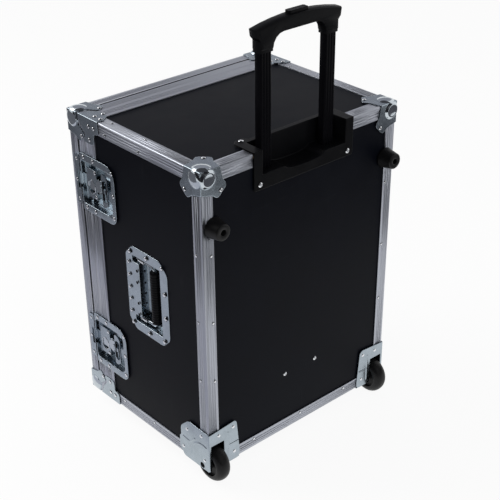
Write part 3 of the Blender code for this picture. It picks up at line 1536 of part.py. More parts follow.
def build():
    """Makes every piece of the trunk."""
    body_rooms, lid_rooms = [], []
    for position, height in LATCH_HEIGHTS.items():
        rooms, lid_room = latch_cutters(f"latch_{position}", height)
        body_rooms.extend(rooms)
        lid_rooms.append(lid_room)
    add_panels(body_rooms)
    add_frames(body_rooms, lid_rooms)
    add_edges()
    add_ball_corners()
    add_braces()
    add_wheel_corners()
    add_bumpers_and_feet()
    for position, height in LATCH_HEIGHTS.items():
        add_latch(f"latch_{position}", height)
    add_handle()
    add_trolley()
    add_hinge()


for old in list(bpy.data.objects):
    bpy.data.objects.remove(old, do_unlink=True)

parts = new_collection("wheeled_accessory_trunk")
helpers = new_collection("cutters")
plywood = new_finish("laminated_plywood", (0.012, 0.013, 0.017), 0.55)
aluminium = new_finish("anodised_aluminium", (0.42, 0.43, 0.46), 0.38, 1.0)
zinc = new_finish("zinc_plated_steel", (0.5, 0.56, 0.6), 0.32, 1.0)
rubber = new_finish("black_rubber", (0.012, 0.012, 0.013), 0.6)
moulded = new_finish("black_moulding", (0.013, 0.013, 0.015), 0.45)
black_aluminium = new_finish("black_anodised_tube", (0.008, 0.008, 0.009), 0.35, 0.6)

trunk = None
lowest = -STAND_HEIGHT
middle_y = (FRONT - BALL_PROUD + BACK + BUMPER_LENGTH) / 2
trunk = new_empty("trunk_origin", (0, -middle_y, -lowest))
lid_pivot = new_empty("lid_hinge_axis", (-HALF_WIDTH - HINGE_STAND, SEAM, TOP / 2), trunk)
build()
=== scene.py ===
"""Looks of the wheeled accessory trunk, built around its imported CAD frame.

Sizes are in millimetres in the case's own frame, where zero is the middle of the box's bottom,
X runs to the latch side, Y to the back and Z up. The class Case turns them into world metres,
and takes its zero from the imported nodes.
"""

import json
import logging
import math
from collections.abc import Iterable, Sequence
from dataclasses import dataclass
from enum import Enum
from typing import Any

import bmesh
import bpy
from bpy.types import Material, Mesh, Node, NodeSocket, NodeTree, Object
from mathutils import Matrix, Vector

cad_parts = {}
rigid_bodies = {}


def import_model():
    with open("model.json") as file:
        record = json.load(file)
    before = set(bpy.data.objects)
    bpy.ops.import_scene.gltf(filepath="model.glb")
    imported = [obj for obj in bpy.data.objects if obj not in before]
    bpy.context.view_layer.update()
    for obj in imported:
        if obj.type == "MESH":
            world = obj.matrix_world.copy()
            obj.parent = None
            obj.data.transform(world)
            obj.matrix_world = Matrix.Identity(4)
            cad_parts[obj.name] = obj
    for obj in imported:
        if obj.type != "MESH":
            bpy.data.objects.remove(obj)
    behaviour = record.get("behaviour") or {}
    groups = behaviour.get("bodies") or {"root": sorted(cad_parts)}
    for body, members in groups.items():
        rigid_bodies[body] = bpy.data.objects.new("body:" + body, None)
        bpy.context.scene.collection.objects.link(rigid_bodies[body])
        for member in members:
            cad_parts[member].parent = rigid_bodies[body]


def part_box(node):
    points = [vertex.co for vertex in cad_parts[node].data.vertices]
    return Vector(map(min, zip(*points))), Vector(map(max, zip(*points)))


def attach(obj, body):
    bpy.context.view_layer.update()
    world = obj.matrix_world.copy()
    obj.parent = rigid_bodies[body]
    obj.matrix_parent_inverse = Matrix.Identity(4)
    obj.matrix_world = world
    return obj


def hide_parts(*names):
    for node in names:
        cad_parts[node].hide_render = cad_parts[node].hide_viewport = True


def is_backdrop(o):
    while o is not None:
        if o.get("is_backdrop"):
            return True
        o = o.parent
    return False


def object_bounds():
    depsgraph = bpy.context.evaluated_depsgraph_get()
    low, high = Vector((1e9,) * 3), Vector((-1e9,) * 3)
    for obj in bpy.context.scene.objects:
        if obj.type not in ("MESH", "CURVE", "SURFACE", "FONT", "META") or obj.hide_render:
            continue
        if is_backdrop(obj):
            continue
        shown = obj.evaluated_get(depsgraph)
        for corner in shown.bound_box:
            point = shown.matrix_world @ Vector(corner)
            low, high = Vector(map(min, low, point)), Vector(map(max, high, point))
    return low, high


log = logging.getLogger("trunk")

MM = 0.001
WELD = 2e-5  # metres

# Seam of the case, then the play under its pressed steel, the sheet and the sheet's outer face
SEAM_GAP = 2.5
FIT = 0.3
SHEET = 1.2
STAND = FIT + SHEET

Triple = tuple[float, float, float]
Pair = tuple[float, float]
Stack = list[tuple[str, dict[str, Any]]]


class Slot(Enum):
    """Material slots of the record."""

    PLYWOOD = "plywood"
    ALUMINIUM = "aluminium"
    ZINC = "zinc_plate"
    RUBBER = "rubber"
    MOULDING = "moulding"
    TUBE = "black_tube"


class Run(Enum):
    """Direction in which an extrusion was drawn, as the stretch of its grain."""

    X = (0.3, 60.0, 60.0)
    Y = (60.0, 0.3, 60.0)
    Z = (60.0, 60.0, 0.3)


class Side(Enum):
    """The case's two narrow sides: name in the frame, and sign of X."""

    LATCH = ("latch_side", 1)
    HINGE = ("hinge_side", -1)

    @property
    def label(self) -> str:
        """Name used in the frame's node names."""
        return self.value[0]

    @property
    def sign(self) -> int:
        """Sign of X on this side."""
        return self.value[1]


class End(Enum):
    """The case's two ends: name in the frame, and sign of Z."""

    TOP = ("top", 1)
    BOTTOM = ("bottom", -1)

    @property
    def label(self) -> str:
        """Name used in the frame's node names."""
        return self.value[0]

    @property
    def sign(self) -> int:
        """Sign of Z at this end."""
        return self.value[1]


# Frame and case


@dataclass(frozen=True)
class Case:
    """The trunk's box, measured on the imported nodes."""

    origin: Vector
    half: float
    front: float
    back: float
    top: float
    seam: float

    @classmethod
    def measured(cls) -> "Case":
        """Reads the box from the aluminium frames and the back edge.

        Returns:
            Case with its zero at the middle of the box's bottom, sizes in millimetres.
        """
        body_low, body_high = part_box("body_frame")
        lid_low, lid_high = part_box("lid_frame")
        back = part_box("edge_back_latch_side")[1].y
        middle = (lid_low.y + back) / 2
        origin = Vector((0, middle, lid_low.z))
        return cls(
            origin=origin,
            half=(body_high.x - body_low.x) / 2 / MM,
            front=(lid_low.y - middle) / MM,
            back=(back - middle) / MM,
            top=(lid_high.z - lid_low.z) / MM,
            seam=(lid_high.y - middle) / MM + SEAM_GAP / 2,
        )

    def at(self, x: float, y: float, z: float) -> Vector:
        """World point in metres of a place in the case's frame in millimetres."""
        return self.origin + Vector((x, y, z)) * MM

    def box(self, node: str) -> tuple[Vector, Vector]:
        """Low and high corner of a node in the case's frame, in millimetres."""
        low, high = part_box(node)
        return (low - self.origin) / MM, (high - self.origin) / MM

    def middle(self, node: str) -> Vector:
        """Middle of a node's box in the case's frame, in millimetres."""
        low, high = self.box(node)
        return (low + high) / 2


def basis(origin: Vector, across: Sequence[float], up: Sequence[float]) -> Matrix:
    """Matrix with local X along across, local Y along up and local Z out of both.

    Args:
        origin: World point that becomes local zero.
        across: World direction of local X.
        up: World direction of local Y.

    Returns:
        Matrix that takes local metres to the world.
    """
    first, second = Vector(across), Vector(up)
    matrix = Matrix((first, second, first.cross(second))).transposed().to_4x4()
    matrix.translation = origin
    return matrix


def outward(point: Vector, sign: int = 1) -> Matrix:
    """Place at a world point, with local Z out of the latch side, or of the hinge side for -1."""
    return basis(point, (0, sign, 0), (0, 0, 1))


def lifted(height: float) -> Matrix:
    """Shift along local Z by a height in millimetres."""
    return Matrix.Translation((0, 0, height * MM))


# Mesh making


def clean_mesh(name: str, work: bmesh.types.BMesh) -> Mesh:
    """Plain mesh from a bmesh, without the layers that the import brought.

    Args:
        name: Name of the mesh.
        work: Source; it is freed.

    Returns:
        New mesh with the same points and faces.
    """
    work.verts.index_update()
    mesh = bpy.data.meshes.new(name)
    mesh.from_pydata(
        [tuple(vert.co) for vert in work.verts],
        [],
        [[vert.index for vert in face.verts] for face in work.faces],
    )
    work.free()
    return mesh


def welded(node: str) -> Mesh:
    """Copy of a CAD node with its triangles welded and its flat faces whole.

    Args:
        node: Name of the node.

    Returns:
        New mesh.
    """
    work = bmesh.new()
    work.from_mesh(bpy.data.objects[node].data)
    bmesh.ops.remove_doubles(work, verts=work.verts, dist=WELD)
    bmesh.ops.dissolve_limit(
        work, angle_limit=math.radians(0.8), verts=work.verts, edges=work.edges
    )
    return clean_mesh(node, work)


def linked(name: str, data: Any) -> Object:
    """Object with the given data, linked to the scene.

    Args:
        name: Name of the object.
        data: Mesh, curve, lamp or camera data.

    Returns:
        The object.
    """
    item = bpy.data.objects.new(name, data)
    bpy.context.scene.collection.objects.link(item)
    return item


def evaluated(item: Object) -> Mesh:
    """Plain mesh of an object with all its modifiers run; the object is removed.

    Args:
        item: Object to evaluate.

    Returns:
        New mesh.
    """
    graph = bpy.context.evaluated_depsgraph_get()
    made = bpy.data.meshes.new_from_object(item.evaluated_get(graph))
    bpy.data.objects.remove(item)
    return made


def settled(mesh: Mesh, stack: Stack) -> Mesh:
    """Runs modifiers on a mesh and returns the plain result.

    Args:
        mesh: Mesh to start from; it is removed.
        stack: (kind, settings) pairs, in order.

    Returns:
        New mesh with every modifier applied.
    """
    item = linked("temporary", mesh)
    for kind, settings in stack:
        modifier = item.modifiers.new(kind.lower(), kind)
        for key, value in settings.items():
            setattr(modifier, key, value)
    made = evaluated(item)
    bpy.data.meshes.remove(mesh)
    return made


def carved(mesh: Mesh, tools: Sequence[Mesh], keep: bool = False) -> Mesh:
    """Cuts closed meshes out of a mesh, or keeps only what lies inside them.

    Args:
        mesh: Mesh to cut; it is removed.
        tools: Closed meshes in the same frame; they are removed.
        keep: True keeps the inside of each tool.

    Returns:
        New mesh.
    """
    items = [linked("tool", tool) for tool in tools]
    operation = "INTERSECT" if keep else "DIFFERENCE"
    stack: Stack = [
        ("BOOLEAN", {"operation": operation, "object": item, "solver": "EXACT"}) for item in items
    ]
    made = settled(mesh, stack)
    for item, tool in zip(items, tools):
        bpy.data.objects.remove(item)
        bpy.data.meshes.remove(tool)
    return made


def eased(mesh: Mesh, width: float, angle: float = 28, segments: int = 2) -> Mesh:
    """Rounds a mesh's sharp edges.

    Args:
        mesh: Mesh with whole flat faces; it is removed.
        width: Width of the rounding in millimetres.
        angle: Edges sharper than this are rounded, in degrees.
        segments: Faces across the rounding.

    Returns:
        New mesh, shaded smooth over its roundings.
    """
    mesh.shade_smooth()
    bevel = {
        "width": width * MM,
        "segments": segments,
        "limit_method": "ANGLE",
        "angle_limit": math.radians(angle),
        "harden_normals": True,
        "use_clamp_overlap": True,
    }
    return settled(mesh, [("BEVEL", bevel)])


def creased(mesh: Mesh, angle: float) -> Mesh:
    """Shades a mesh smooth, with sharp edges over an angle in degrees.

    Args:
        mesh: Mesh to shade.
        angle: Edges sharper than this stay sharp.

    Returns:
        The same mesh.
    """
    mesh.shade_smooth()
    mesh.set_sharp_from_angle(angle=math.radians(angle))
    return mesh


def pressed(
    node: str,
    extras: Iterable[Mesh] = (),
    voxel: float = 0.6,
    relax: int = 3,
    keep: float = 0.35,
    base: Mesh | None = None,
) -> Mesh:
    """Sheet-metal or moulded form: a CAD node and its embossings run into one skin.

    Args:
        node: CAD node to start from.
        extras: Closed meshes in world metres that are added to it; they are removed.
        voxel: Size of the remesh's cells in millimetres.
        relax: Rounds of smoothing.
        keep: Share of the faces that stays.
        base: Mesh that takes the CAD node's place; it is removed.

    Returns:
        New smooth mesh.
    """
    work = bmesh.new()
    work.from_mesh(base or bpy.data.objects[node].data)
    bmesh.ops.remove_doubles(work, verts=work.verts, dist=WELD)
    if base:
        bpy.data.meshes.remove(base)
    for extra in extras:
        work.from_mesh(extra)
        bpy.data.meshes.remove(extra)
    cell = voxel * 1.0
    stack: Stack = [
        ("REMESH", {"mode": "VOXEL", "voxel_size": cell * MM, "use_smooth_shade": True}),
        ("SMOOTH", {"factor": 0.5, "iterations": relax}),
        ("DECIMATE", {"ratio": keep}),
    ]
    made = settled(clean_mesh(node, work), stack)
    made.shade_smooth()
    return made


def prism(outline: Sequence[Pair], depth: float, place: Matrix, ease: float = 0.0) -> Mesh:
    """Solid with a flat outline.

    Args:
        outline: Points in millimetres in the place's XY plane.
        depth: Height along the place's Z in millimetres, from zero.
        place: Matrix to the world.
        ease: Width in millimetres of the rounding of its edges.

    Returns:
        Mesh in world metres.
    """
    work = bmesh.new()
    face = work.faces.new([work.verts.new((x * MM, y * MM, 0)) for x, y in outline])
    grown = bmesh.ops.extrude_face_region(work, geom=[face])
    moved = [item for item in grown["geom"] if isinstance(item, bmesh.types.BMVert)]
    bmesh.ops.translate(work, verts=moved, vec=(0, 0, depth * MM))
    bmesh.ops.recalc_face_normals(work, faces=work.faces)
    mesh = clean_mesh("prism", work)
    if ease:
        mesh = eased(mesh, ease)
    mesh.transform(place)
    return mesh


def block(low: Sequence[float], high: Sequence[float], case: Case) -> Mesh:
    """Box between two corners in the case's frame, as a mesh in world metres."""
    outline = [(low[0], low[1]), (high[0], low[1]), (high[0], high[1]), (low[0], high[1])]
    return prism(outline, high[2] - low[2], Matrix.Translation(case.at(0, 0, low[2])))


def lathe(profile: Sequence[Pair], place: Matrix, steps: int = 64) -> Mesh:
    """Turned solid.

    Args:
        profile: (radius, height) points in millimetres, outer side from top to bottom. A profile
            that starts on the axis is closed there, and any other closes on itself.
        place: Matrix whose local Z is the axis.
        steps: Faces round the axis.

    Returns:
        Mesh in world metres.
    """
    work = bmesh.new()
    rings = []
    for radius, height in profile:
        turns = [2 * math.pi * step / steps for step in range(steps)] if radius else [0.0]
        rings.append(
            [
                work.verts.new((radius * MM * math.cos(t), radius * MM * math.sin(t), height * MM))
                for t in turns
            ]
        )
    pairs = list(zip(rings, rings[1:]))
    if profile[0][0] > 0:
        pairs.append((rings[-1], rings[0]))
    for upper, lower in pairs:
        for step in range(steps):
            after = (step + 1) % steps
            if len(upper) == 1:
                corners = [upper[0], lower[step], lower[after]]
            elif len(lower) == 1:
                corners = [upper[step], lower[0], upper[after]]
            else:
                corners = [upper[step], lower[step], lower[after], upper[after]]
            work.faces.new(corners)
    bmesh.ops.recalc_face_normals(work, faces=work.faces)
    mesh = creased(clean_mesh("lathe", work), 38)
    mesh.transform(place)
    return mesh


def mirrored(upper: Sequence[Pair]) -> list[Pair]:
    """Whole profile of a turned solid from its upper half."""
    return [*upper, *((radius, -height) for radius, height in reversed(upper))]


def bar(points: Sequence[Vector], radius: float, loop: bool = False) -> Mesh:
    """Round bar along world points.

    Args:
        points: World points in metres.
        radius: Radius in millimetres.
        loop: True joins the last point to the first, otherwise both ends are closed.

    Returns:
        Mesh in world metres.
    """
    curve = bpy.data.curves.new("bar", "CURVE")
    curve.dimensions = "3D"
    curve.bevel_depth = radius * MM
    curve.bevel_resolution = 3
    curve.use_fill_caps = True
    spline = curve.splines.new("POLY")
    spline.points.add(len(points) - 1)
    spline.use_cyclic_u = loop
    for point, place in zip(spline.points, points):
        point.co = (*place, 1)
    mesh = evaluated(linked("temporary", curve))
    work = bmesh.new()
    work.from_mesh(mesh)
    bmesh.ops.remove_doubles(work, verts=work.verts, dist=1e-6)
    bmesh.ops.recalc_face_normals(work, faces=work.faces)
    bpy.data.meshes.remove(mesh)
    return creased(clean_mesh("bar", work), 50)


def arc(
    centre: Vector,
    first: Sequence[float],
    second: Sequence[float],
    radius: float,
    start: float,
    end: float,
    steps: int = 16,
) -> list[Vector]:
    """World points on an arc.

    Args:
        centre: World point.
        first: Unit direction at angle zero.
        second: Unit direction at a quarter turn.
        radius: Radius in millimetres.
        start: First angle in degrees.
        end: Last angle in degrees.
        steps: Number of straight pieces.

    Returns:
        Points in metres.
    """
    across, up = Vector(first), Vector(second)
    points = []
    for step in range(steps + 1):
        turn = math.radians(start + (end - start) * step / steps)
        points.append(centre + (across * math.cos(turn) + up * math.sin(turn)) * radius * MM)
    return points


def coil(start: Vector, end: Vector, radius: float, turns: int) -> list[Vector]:
    """World points of a helix between two points.

    Args:
        start: First end of its axis.
        end: Other end of its axis.
        radius: Radius in millimetres.
        turns: Number of turns.

    Returns:
        Points in metres.
    """
    axis = end - start
    side = axis.orthogonal().normalized()
    other = axis.normalized().cross(side)
    points, per_turn = [], 10
    for step in range(turns * per_turn + 1):
        angle = 2 * math.pi * step / per_turn
        swing = side * math.cos(angle) + other * math.sin(angle)
        points.append(start + axis * (step / (turns * per_turn)) + swing * radius * MM)
    return points


def rectangle(name: str, wide: float, tall: float, height: float = 0.0) -> Mesh:
    """Flat rectangle about zero.

    Args:
        name: Name of the mesh.
        wide: Half of its width in metres.
        tall: Half of its height in metres.
        height: Its Z in metres.

    Returns:
        New mesh.
    """
    work = bmesh.new()
    corners = [(-wide, -tall), (wide, -tall), (wide, tall), (-wide, tall)]
    work.faces.new([work.verts.new((x, y, height)) for x, y in corners])
    return clean_mesh(name, work)


def joined(meshes: Sequence[Mesh]) -> Mesh:
    """One mesh from several, which are removed.

    Args:
        meshes: Meshes; the number of each becomes its faces' material index.

    Returns:
        New mesh that keeps smooth faces and sharp edges.
    """
    corners: list[Vector] = []
    faces: list[list[int]] = []
    marks: list[tuple[bool, int]] = []
    sharp: set[tuple[int, ...]] = set()
    for number, mesh in enumerate(meshes):
        offset = len(corners)
        corners.extend(vert.co.copy() for vert in mesh.vertices)
        for face in mesh.polygons:
            faces.append([offset + index for index in face.vertices])
            marks.append((face.use_smooth, number))
        for edge in mesh.edges:
            if edge.use_edge_sharp:
                sharp.add(tuple(sorted(offset + index for index in edge.vertices)))
        bpy.data.meshes.remove(mesh)
    made = bpy.data.meshes.new("joined")
    made.from_pydata(corners, [], faces)
    for face, (smooth, number) in zip(made.polygons, marks):
        face.use_smooth = smooth
        face.material_index = number
    for edge in made.edges:
        edge.use_edge_sharp = tuple(sorted(edge.vertices)) in sharp
    return made


def place_piece(
    name: str,
    mesh: Mesh,
    finishes: Sequence[Material],
    body: str,
    stands_for: Sequence[str] = (),
) -> Object:
    """Adds a finished piece to the scene.

    Args:
        name: Name of the piece.
        mesh: Its mesh in world metres.
        finishes: Materials, in the order of the mesh's material indices.
        body: CAD body that it rides on.
        stands_for: CAD nodes that it replaces.

    Returns:
        The object.
    """
    mesh.name = name
    piece = linked(name, mesh)
    for finish in finishes:
        mesh.materials.append(finish)
    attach(piece, body)
    if stands_for:
        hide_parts(*stands_for)
    return piece


# Materials


class Desk:
    """Adds and links the nodes of one tree."""

    def __init__(self, tree: NodeTree) -> None:
        """Keeps the tree to work on."""
        self.tree = tree

    def node(
        self,
        kind: str,
        settings: dict[str, Any] | None = None,
        inputs: dict[str | int, Any] | None = None,
    ) -> Node:
        """Adds a node.

        Args:
            kind: Node type.
            settings: Its properties.
            inputs: Values or output sockets, by input name or number.

        Returns:
            The node.
        """
        made = self.tree.nodes.new(kind)
        for key, value in (settings or {}).items():
            setattr(made, key, value)
        for key, value in (inputs or {}).items():
            if isinstance(value, NodeSocket):
                self.tree.links.new(value, made.inputs[key])
            else:
                made.inputs[key].default_value = value
        return made

    def math(self, operation: str, first: Any, second: Any = 0.0, third: Any = 0.0) -> NodeSocket:
        """Output of a Math node.

        Args:
            operation: Its operation.
            first: First value or socket.
            second: Second value or socket.
            third: Third value or socket.

        Returns:
            The output socket.
        """
        values: dict[str | int, Any] = {0: first, 1: second, 2: third}
        return self.node("ShaderNodeMath", {"operation": operation}, values).outputs[0]

    def spread(
        self, value: Any, low: Any, high: Any, to_low: Any, to_high: Any, smooth: bool = False
    ) -> NodeSocket:
        """Value moved from one range to another and held inside it.

        Args:
            value: Value or socket.
            low: Low end of its range.
            high: High end of its range.
            to_low: What the low end becomes.
            to_high: What the high end becomes.
            smooth: True eases both ends.

        Returns:
            The output socket.
        """
        settings = {"interpolation_type": "SMOOTHSTEP" if smooth else "LINEAR"}
        values: dict[str | int, Any] = {0: value, 1: low, 2: high, 3: to_low, 4: to_high}
        return self.node("ShaderNodeMapRange", settings, values).outputs[0]

    def mixed(self, factor: Any, first: Any, second: Any) -> NodeSocket:
        """Colour between two colours."""
        values: dict[str | int, Any] = {0: factor, 6: first, 7: second}
        return self.node("ShaderNodeMix", {"data_type": "RGBA"}, values).outputs[2]

    def noise(self, vector: Any, scale: Any, detail: float, roughness: float = 0.5) -> NodeSocket:
        """Value of a Noise Texture."""
        values = {"Vector": vector, "Scale": scale, "Detail": detail, "Roughness": roughness}
        return self.node("ShaderNodeTexNoise", None, values).outputs[0]

    def group(self, tree: NodeTree, inputs: dict[str | int, Any]) -> NodeSocket:
        """Output of a shader group."""
        return self.node("ShaderNodeGroup", {"node_tree": tree}, inputs).outputs[0]

    def stretched(self, vector: Any, stretch: Any, shift: Triple = (0.0, 0.0, 0.0)) -> NodeSocket:
        """Vector times a stretch, plus a shift."""
        values: dict[str | int, Any] = {0: vector, 1: stretch, 2: shift}
        return self.node("ShaderNodeVectorMath", {"operation": "MULTIPLY_ADD"}, values).outputs[0]


def node_material(name: str) -> tuple[Material, Desk]:
    """New material and a desk on its nodes.

    Args:
        name: Name of the material.

    Returns:
        The material and the desk.
    """
    material = bpy.data.materials.new(name)
    material.use_nodes = True
    return material, Desk(material.node_tree)


def node_group(
    name: str,
    kind: str,
    inputs: Sequence[tuple[str, str, Any]],
    outputs: Sequence[tuple[str, str]],
) -> tuple[Desk, Node, Node]:
    """New node group with its sockets.

    Args:
        name: Name of the group.
        kind: Tree type.
        inputs: (name, kind of socket, default) for each input.
        outputs: (name, kind of socket) for each output.

    Returns:
        Desk on the group, its input node and its output node.
    """
    tree = bpy.data.node_groups.new(name, kind)
    for title, socket, default in inputs:
        made = tree.interface.new_socket(title, in_out="INPUT", socket_type=f"NodeSocket{socket}")
        if default is not None:
            made.default_value = default
    for title, socket in outputs:
        tree.interface.new_socket(title, in_out="OUTPUT", socket_type=f"NodeSocket{socket}")
    desk = Desk(tree)
    return desk, desk.node("NodeGroupInput"), desk.node("NodeGroupOutput")


class Effects:
    """Shader groups that the finishes share."""

    def __init__(self) -> None:
        """Builds the three groups."""
        self.grain = self.make_grain()
        self.patches = self.make_patches()
        self.scuffs = self.make_scuffs()

    def make_grain(self) -> NodeTree:
        """Fine grain drawn out along one direction.

        Returns:
            Group with inputs Vector, Stretch and Scale and output Grain.
        """
        desk, source, result = node_group(
            "drawn_grain",
            "ShaderNodeTree",
            [
                ("Vector", "Vector", None),
                ("Stretch", "Vector", (1.0, 1.0, 1.0)),
                ("Scale", "Float", 20.0),
            ],
            [("Grain", "Float")],
        )
        vector = desk.stretched(source.outputs["Vector"], source.outputs["Stretch"])
        noise = desk.noise(vector, source.outputs["Scale"], 4.0, 0.65)
        desk.tree.links.new(desk.spread(noise, 0.3, 0.7, 0.0, 1.0), result.inputs["Grain"])
        return desk.tree

    def make_patches(self) -> NodeTree:
        """Soft clouds of two sizes.

        Returns:
            Group with inputs Vector and Scale and output Patches.
        """
        desk, source, result = node_group(
            "soft_patches",
            "ShaderNodeTree",
            [("Vector", "Vector", None), ("Scale", "Float", 12.0)],
            [("Patches", "Float")],
        )
        vector, scale = source.outputs["Vector"], source.outputs["Scale"]
        large = desk.math("MULTIPLY", desk.noise(vector, scale, 2.0), 0.6)
        small = desk.noise(vector, desk.math("MULTIPLY", scale, 5.3), 3.0)
        total = desk.math("MULTIPLY_ADD", small, 0.4, large)
        desk.tree.links.new(desk.spread(total, 0.32, 0.68, 0.0, 1.0, True), result.inputs["Patches"])
        return desk.tree

    def make_scuffs(self) -> NodeTree:
        """Sparse short scratches that come in groups.

        Returns:
            Group with inputs Vector and Amount and output Scuff.
        """
        desk, source, result = node_group(
            "scuffs",
            "ShaderNodeTree",
            [("Vector", "Vector", None), ("Amount", "Float", 0.3)],
            [("Scuff", "Float")],
        )
        vector = source.outputs["Vector"]
        lines = []
        for number, stretch in enumerate(((9.0, 60.0, 260.0), (260.0, 50.0, 8.0), (40.0, 9.0, 240.0))):
            moved = desk.stretched(vector, stretch, (number * 3.1, number * 1.7, 0.4))
            lines.append(desk.spread(desk.noise(moved, 1.0, 1.0), 0.68, 0.74, 0.0, 1.0))
        most = desk.math("MAXIMUM", desk.math("MAXIMUM", lines[0], lines[1]), lines[2])
        groups = desk.spread(desk.noise(vector, 9.0, 2.0), 0.5, 0.66, 0.0, 1.0, True)
        mask = desk.math("MULTIPLY", desk.math("MULTIPLY", most, groups), source.outputs["Amount"])
        desk.tree.links.new(mask, result.inputs["Scuff"])
        return desk.tree


@dataclass(frozen=True)
class Finish:
    """What one material looks like; lengths in millimetres, colours linear."""

    name: str
    dark: Triple
    light: Triple
    rough: Pair
    metallic: float = 0.0
    specular: float = 0.3
    stretch: Triple = (1.0, 1.0, 1.0)
    grain_scale: float = 300.0
    grain_share: float = 0.5
    grain_depth: float = 0.02
    patch_scale: float = 12.0
    pebble_scale: float = 0.0
    pebble_depth: float = 0.0
    scuff: float = 0.0
    scuff_color: Triple = (0.25, 0.25, 0.26)
    scuff_rough: float = 0.2
    scuff_depth: float = 0.02

    def build(self, effects: Effects) -> Material:
        """Makes the material.

        Args:
            effects: Shared shader groups.

        Returns:
            The material.
        """
        material, desk = node_material(self.name)
        shader = material.node_tree.nodes["Principled BSDF"]
        where = desk.node("ShaderNodeTexCoord").outputs["Object"]
        drawn = {"Vector": where, "Stretch": self.stretch, "Scale": self.grain_scale}
        grain = desk.group(effects.grain, drawn)
        patches = desk.group(effects.patches, {"Vector": where, "Scale": self.patch_scale})
        weighed = desk.math("MULTIPLY", grain, self.grain_share)
        tone = desk.math("MULTIPLY_ADD", patches, 1 - self.grain_share, weighed)
        color = desk.mixed(tone, (*self.dark, 1), (*self.light, 1))
        roughness = desk.spread(tone, 0.0, 1.0, self.rough[0], self.rough[1])
        height = desk.math("MULTIPLY", grain, self.grain_depth * MM)
        if self.scuff:
            scuff = desk.group(effects.scuffs, {"Vector": where, "Amount": self.scuff})
            color = desk.mixed(scuff, color, (*self.scuff_color, 1))
            roughness = desk.math("MULTIPLY_ADD", scuff, self.scuff_rough, roughness)
            height = desk.math("MULTIPLY_ADD", scuff, -self.scuff_depth * MM, height)
        if self.pebble_depth:
            cells = desk.node(
                "ShaderNodeTexVoronoi",
                {"feature": "SMOOTH_F1"},
                {"Vector": where, "Scale": self.pebble_scale, "Smoothness": 0.6},
            )
            height = desk.math("MULTIPLY_ADD", cells.outputs[0], self.pebble_depth * MM, height)
        bump = desk.node("ShaderNodeBump", None, {"Height": height, "Distance": 1.0, "Strength": 1.0})
        links = material.node_tree.links
        links.new(color, shader.inputs["Base Color"])
        links.new(roughness, shader.inputs["Roughness"])
        links.new(bump.outputs[0], shader.inputs["Normal"])
        shader.inputs["Metallic"].default_value = self.metallic
        shader.inputs["Specular IOR Level"].default_value = self.specular
        return material


